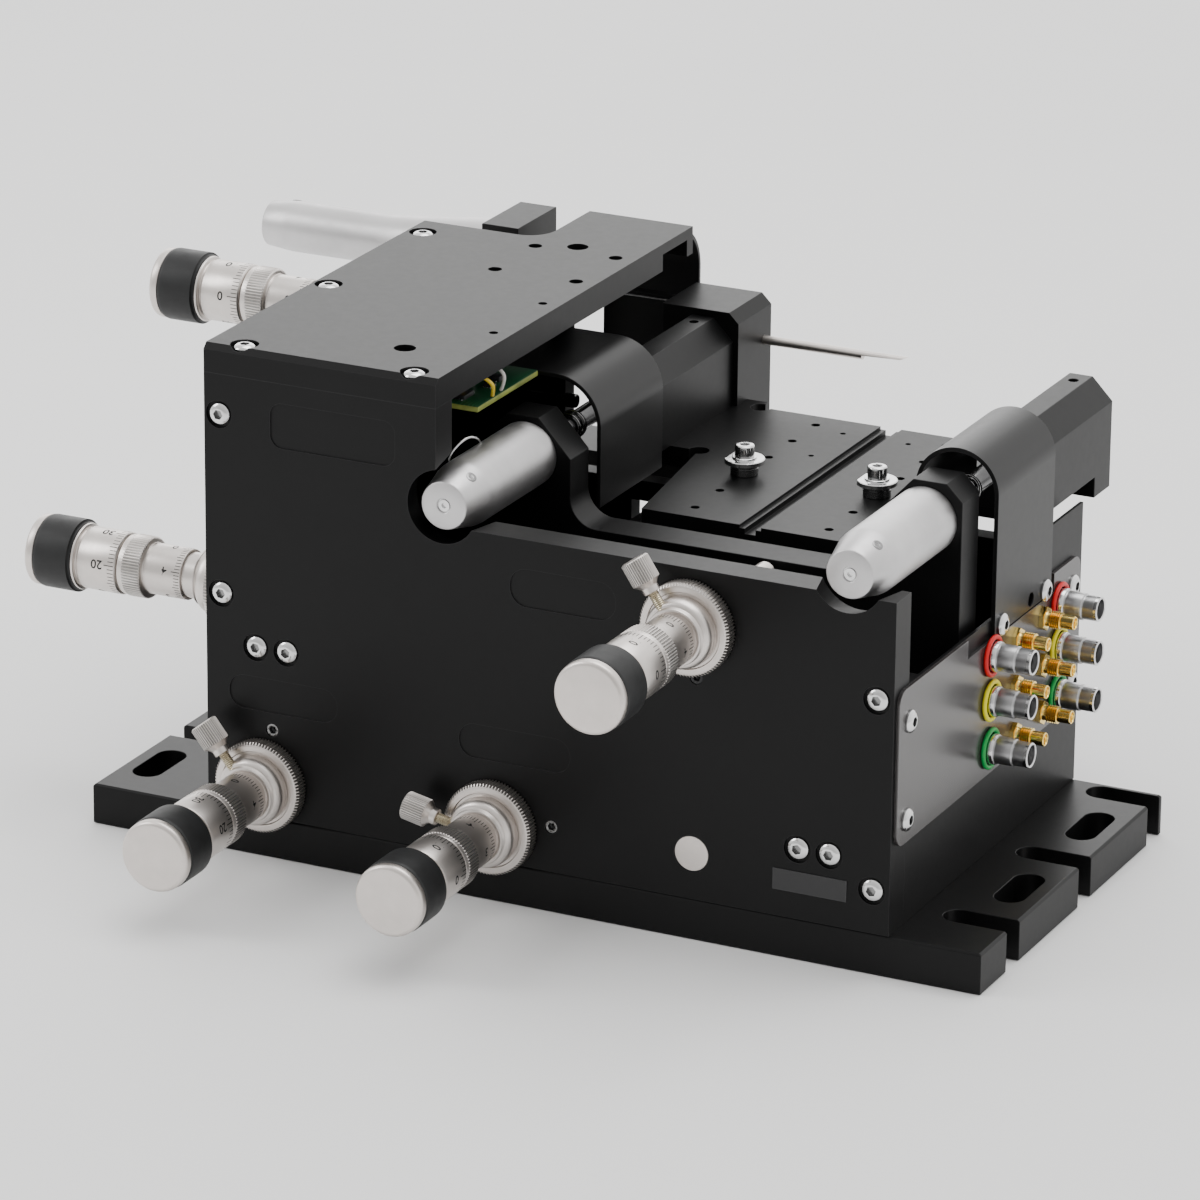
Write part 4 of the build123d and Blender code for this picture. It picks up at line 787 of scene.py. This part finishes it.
# Connectors
SIGNAL = [(y, z, colour) for z, colour in ((43.2, GREEN), (56.9, YELLOW), (69.6, RED)) for y in (-1.5, 45.5)]
bodies, rings_made = [], []
for y, z, colour in SIGNAL:
    seat = place(PANEL_FACE, y, z, "right")
    rings = [(-3.9, 0), (-3.9, 3.7), (1.15, 3.7), (1.15, 4.0), (1.3, 4.2), (2.5, 4.2), (2.75, 4.05),
             (2.9, 3.8, None, 1), (3.1, 3.72, None, 1), (3.4, 3.75, None, 1), (7.7, 3.75, None, 1),
             (7.85, 3.68, None, 1), (8.0, 3.5, None, 1), (8.25, 3.4, None, 1), (8.5, 3.42, None, 1),
             (11.4, 3.42, None, 1), (11.45, 3.48), (12.3, 3.48), (12.5, 3.3), (12.5, 2.95), (12.3, 2.82),
             (9.6, 2.8, None, 1), (9.4, 2.2, None, 2), (10.6, 2.1, None, 2), (10.7, 0, None, 2)]
    body = spin("socket", rings, 96, [STEEL, CHROME, INSERT])
    body.matrix_world = seat
    bodies.append(body)
    profile = []
    for k in range(17):
        t = k / 16 * TAU
        profile.append((0.68 + 0.66 * math.sin(t), 5.15 + 0.68 * math.cos(t)))
    ring = spin("ring", profile, 96, [colour])
    ring.matrix_world = seat
    rings_made.append(ring)
put(join("signal_socket_set", bodies), "housing", replaces=("signal_sockets",))
put(join("socket_ring_set", rings_made), "housing", replaces=("socket_rings",))

coaxes = []
for z in (41.4, 55.0, 68.6):
    for y in (15.7, 34.5):
        rings = [(-4, 0), (-4, 2.3), (0.05, 2.3), (0.05, 3.0, "hex"), (1.35, 3.0, "hex"), (1.4, 2.8, "hex"),
                 (1.4, 2.15), (1.7, 2.0), (2.4, 2.0)]
        for k in range(5):
            pitch = 2.45 + k * 0.68
            rings += [(pitch, 1.75), (pitch + 0.22, 2.45), (pitch + 0.4, 2.45), (pitch + 0.6, 1.75)]
        rings += [(5.85, 1.9), (9.3, 1.9), (9.5, 1.75), (9.5, 1.5), (9.3, 1.4), (6.6, 1.4), (6.6, 0.5),
                  (8.8, 0.42), (8.8, 0)]
        item = spin("coax", rings, 72, [GOLD])
        item.matrix_world = place(PANEL_FACE, y, z, "right")
        coaxes.append(item)
put(join("coax_socket_set", coaxes), "housing", replaces=("coax_sockets",))


# Platform fittings
WASHER_FLAT = -4.6
cleats = []
for side in (-1, 1):
    seat = place(34 + side * 20, 43.5, DECK)
    post = spin("post", [(0, 0), (0, 3.75), (0.15, 3.9), (2.0, 3.9), (2.15, 3.75), (2.3, 3.9), (3.3, 3.9),
                         (3.3, 0)], 72, [DARK_STEEL_AND_SOCKET_SHADE])
    washer = spin("washer", [(3.3, 0), (3.3, 5.5), (3.45, 5.7), (4.5, 5.7), (4.7, 5.5), (4.7, 3.55),
                             (4.85, 3.5), (5.1, 3.45), (5.2, 3.3), (5.2, 0)], 96, [STEEL])
    for v in washer.data.vertices:
        v.co.x = max(v.co.x, WASHER_FLAT * MM)
    head = spin("head", [(5.2, 0), (5.2, 2.6), (5.3, 2.75), (8.1, 2.75), (8.35, 2.65), (8.52, 2.45),
                         (8.6, 2.2), (8.6, 1.45), (8.5, 1.3, "hex"), (6.9, 1.25, "hex"), (6.75, 0)],
                96, [STEEL])
    for item in (post, washer, head):
        item.matrix_world = seat
        cleats.append(item)
put(join("cleat_set", cleats), "roll", replaces=("cleats",))

keep("guide_rod", NICKEL)
link = spin("rear_link_rod", [(0, 0), (0, 1.15), (0.15, 1.3), (48.05, 1.3), (48.2, 1.15), (48.2, 0)], 48,
            [BLACK_CHROME])
put(link, "roll", place(-77.3, 108, 118, "right"), ("rear_link",))

links, clips = [], []
for x in EAR_X:
    seat = place(x, -2.5, CYLINDER_Z, "back")
    rings = [(0, 0), (0, 3.8), (0.2, 4.0), (5.9, 4.0), (6.1, 3.9), (6.9, 3.2), (7.2, 3.1), (36.6, 3.1),
             (36.9, 3.2), (37.7, 3.9), (37.9, 4.0), (42.6, 4.0), (43.5, 3.3), (43.8, 2.9), (43.8, 0)]
    item = spin("link", rings, 72, [BLACK_CHROME])
    item.matrix_world = seat
    links.append(item)
    for y in (14.5, 17.5):
        profile = [(0.45 * math.sin(k / 12 * TAU), 3.65 + 0.45 * math.cos(k / 12 * TAU)) for k in range(13)]
        clip = spin("clip", profile, 72, [STEEL])
        clip.matrix_world = seat @ Matrix.Translation((0, 0, y * MM))
        clips.append(clip)
put(join("link_rod_set", links), "lift", replaces=("link_rods",))
put(join("link_clip_set", clips), "lift", replaces=("link_clips",))


# Circuit board
BOARD_BOTTOM, MASK_BOTTOM, BOARD_TOP, COVER_BOTTOM = 127.5, 128.85, 129.1, 136.5
CHIPS = [(-36, -31, 5, 6, 1.2), (-46, -30, 9, 7, 1.6), (-60, -28, 12, 9, 1.8), (-33, -20, 3, 2, 0.9),
         (-34, -14, 3.4, 3, 1.4), (-43, -18, 6, 5, 1.4), (-52, -12, 10, 8, 1.8), (-72, -20, 14, 10, 2.2)]
STANDOFFS = [(-80, -31), (-80, -7), (-49.9, -31), (-49.9, -7)]
board_parts = [block(-88, -27.9, -37, -1, BOARD_BOTTOM, MASK_BOTTOM, SHADED_LAMINATE, 0.05),
               block(-87.95, -27.95, -36.95, -1.05, MASK_BOTTOM, BOARD_TOP, MASK, 0.03)]
for x, y, w, d, h in CHIPS:
    chip = block(x - w / 2, x + w / 2, y - d / 2, y + d / 2, BOARD_TOP, BOARD_TOP + h, CHIP_BLACK_AND_SOCKET_SHADE, 0.12)
    board_parts.append(chip)
    for k in range(int(w)):
        for s in (-1, 1):
            px = x - w / 2 + 0.5 + k
            py = y + s * (d / 2 + 0.35)
            leg = block(px - 0.18, px + 0.18, py - 0.4, py + 0.4, BOARD_TOP, BOARD_TOP + 0.35, SOLDER, 0.05)
            board_parts.append(leg)
for x, y in STANDOFFS:
    post = spin("standoff", [(BOARD_TOP, 0), (BOARD_TOP, 2.5), (COVER_BOTTOM, 2.5), (COVER_BOTTOM, 0)], 48,
                [STEEL])
    post.matrix_world = Matrix.Translation((x * MM, y * MM, 0))
    board_parts.append(post)
put(join("circuit_board_set", board_parts), "housing", replaces=("circuit_board",))
YELLOW_ROUTE = [(-28.6, -27, 129.1), (-27.6, -28.2, 131.4), (-27.4, -29.6, 133.6), (-29.4, -30.6, 135.3),
                (-33, -30.6, 135.6), (-36, -30, 133), (-36.4, -30, 129.2)]
WHITE_ROUTE = [(-28.8, -21.5, 129.1), (-27.6, -21.8, 131.6), (-27.6, -22, 134.2), (-30, -22, 135.9),
               (-34, -21.6, 135.6), (-37, -21, 133), (-37.4, -21, 129.2)]
SPRING_ROUTE = [(-32.2, -45, 113.5), (-32.4, -46, 116.0), (-31.2, -44, 119.2), (-29.4, -40, 121.3),
                (-28.8, -36, 120.0), (-29.4, -32, 117.4), (-30.6, -31, 115.0)]
tube("yellow_loop", YELLOW_ROUTE, 0.55, WIRE_YELLOW, "housing")
tube("white_loop", WHITE_ROUTE, 0.5, WIRE_WHITE, "housing")
tube("spring_wire", SPRING_ROUTE, 0.35, STEEL, "lift")

stay = spin("cross_stay", [(0, 0), (0, 1.4), (53.6, 1.4), (53.7, 1.85), (53.95, 2.0), (56.9, 2.0),
                           (57.2, 1.8), (57.2, 1.2), (56.6, 1.1), (56.6, 0)], 48, [BLACK_CHROME])
put(stay, "housing", place(-90.5, 34.5, 109, "right"))

# Bare label plate
label = block(73.2, 94.5, -64.25, -63.95, 19.0, 25.0, LABEL, 0.08)
label.name = "bare_label_plate"
put(label, "housing")


# Stage and light
floor_material = plain("floor_paint", (0.86, 0.86, 0.86), (0.89, 0.89, 0.89), 0.7, 0.0, 3, 60, 0.02, 0.1)
floor_mesh = bpy.data.meshes.new("floor")
FLOOR_HALF, FLOOR_Z = 6.0, -0.0002
corners = [(x * FLOOR_HALF, y * FLOOR_HALF, FLOOR_Z) for x, y in ((-1, -1), (1, -1), (1, 1), (-1, 1))]
floor_mesh.from_pydata(corners, [], [(0, 1, 2, 3)])
floor_mesh.materials.append(floor_material)
floor = linked("floor", floor_mesh)

# Room light that grows from the front to the back
world = bpy.data.worlds.new("studio")
world.use_nodes = True
nodes, links_of = world.node_tree.nodes, world.node_tree.links
sky = nodes["Background"]
sky.inputs["Color"].default_value = (1.0, 0.995, 0.985, 1)
direction = nodes.new("ShaderNodeTexCoord")
axes = nodes.new("ShaderNodeSeparateXYZ")
fade = nodes.new("ShaderNodeMapRange")
for key, value in (("From Min", -0.9), ("From Max", 0.9), ("To Min", 0.75), ("To Max", 1.75)):
    fade.inputs[key].default_value = value
links_of.new(direction.outputs["Generated"], axes.inputs[0])
links_of.new(axes.outputs["Y"], fade.inputs["Value"])
links_of.new(fade.outputs["Result"], sky.inputs["Strength"])
bpy.context.scene.world = world


def softbox(name, where, towards, width, height, power):
    """Rectangular soft light, in metres and watts."""
    data = bpy.data.lights.new(name, "AREA")
    data.shape = "RECTANGLE"
    data.size, data.size_y = width, height
    data.energy = power
    lamp = linked(name, data)
    lamp.location = where
    lamp.rotation_euler = (Vector(towards) - Vector(where)).to_track_quat("-Z", "Y").to_euler()


softbox("top_box", (0.1, 0.3, 1.3), (0, 0, 0.08), 1.0, 0.8, 9.0)
softbox("left_box", (-1.1, -0.5, 0.9), (0, 0, 0.08), 0.5, 0.7, 6.0)
softbox("rear_box", (-0.9, 1.8, 0.75), (0, 0, 0.1), 2.0, 0.9, 11.0)
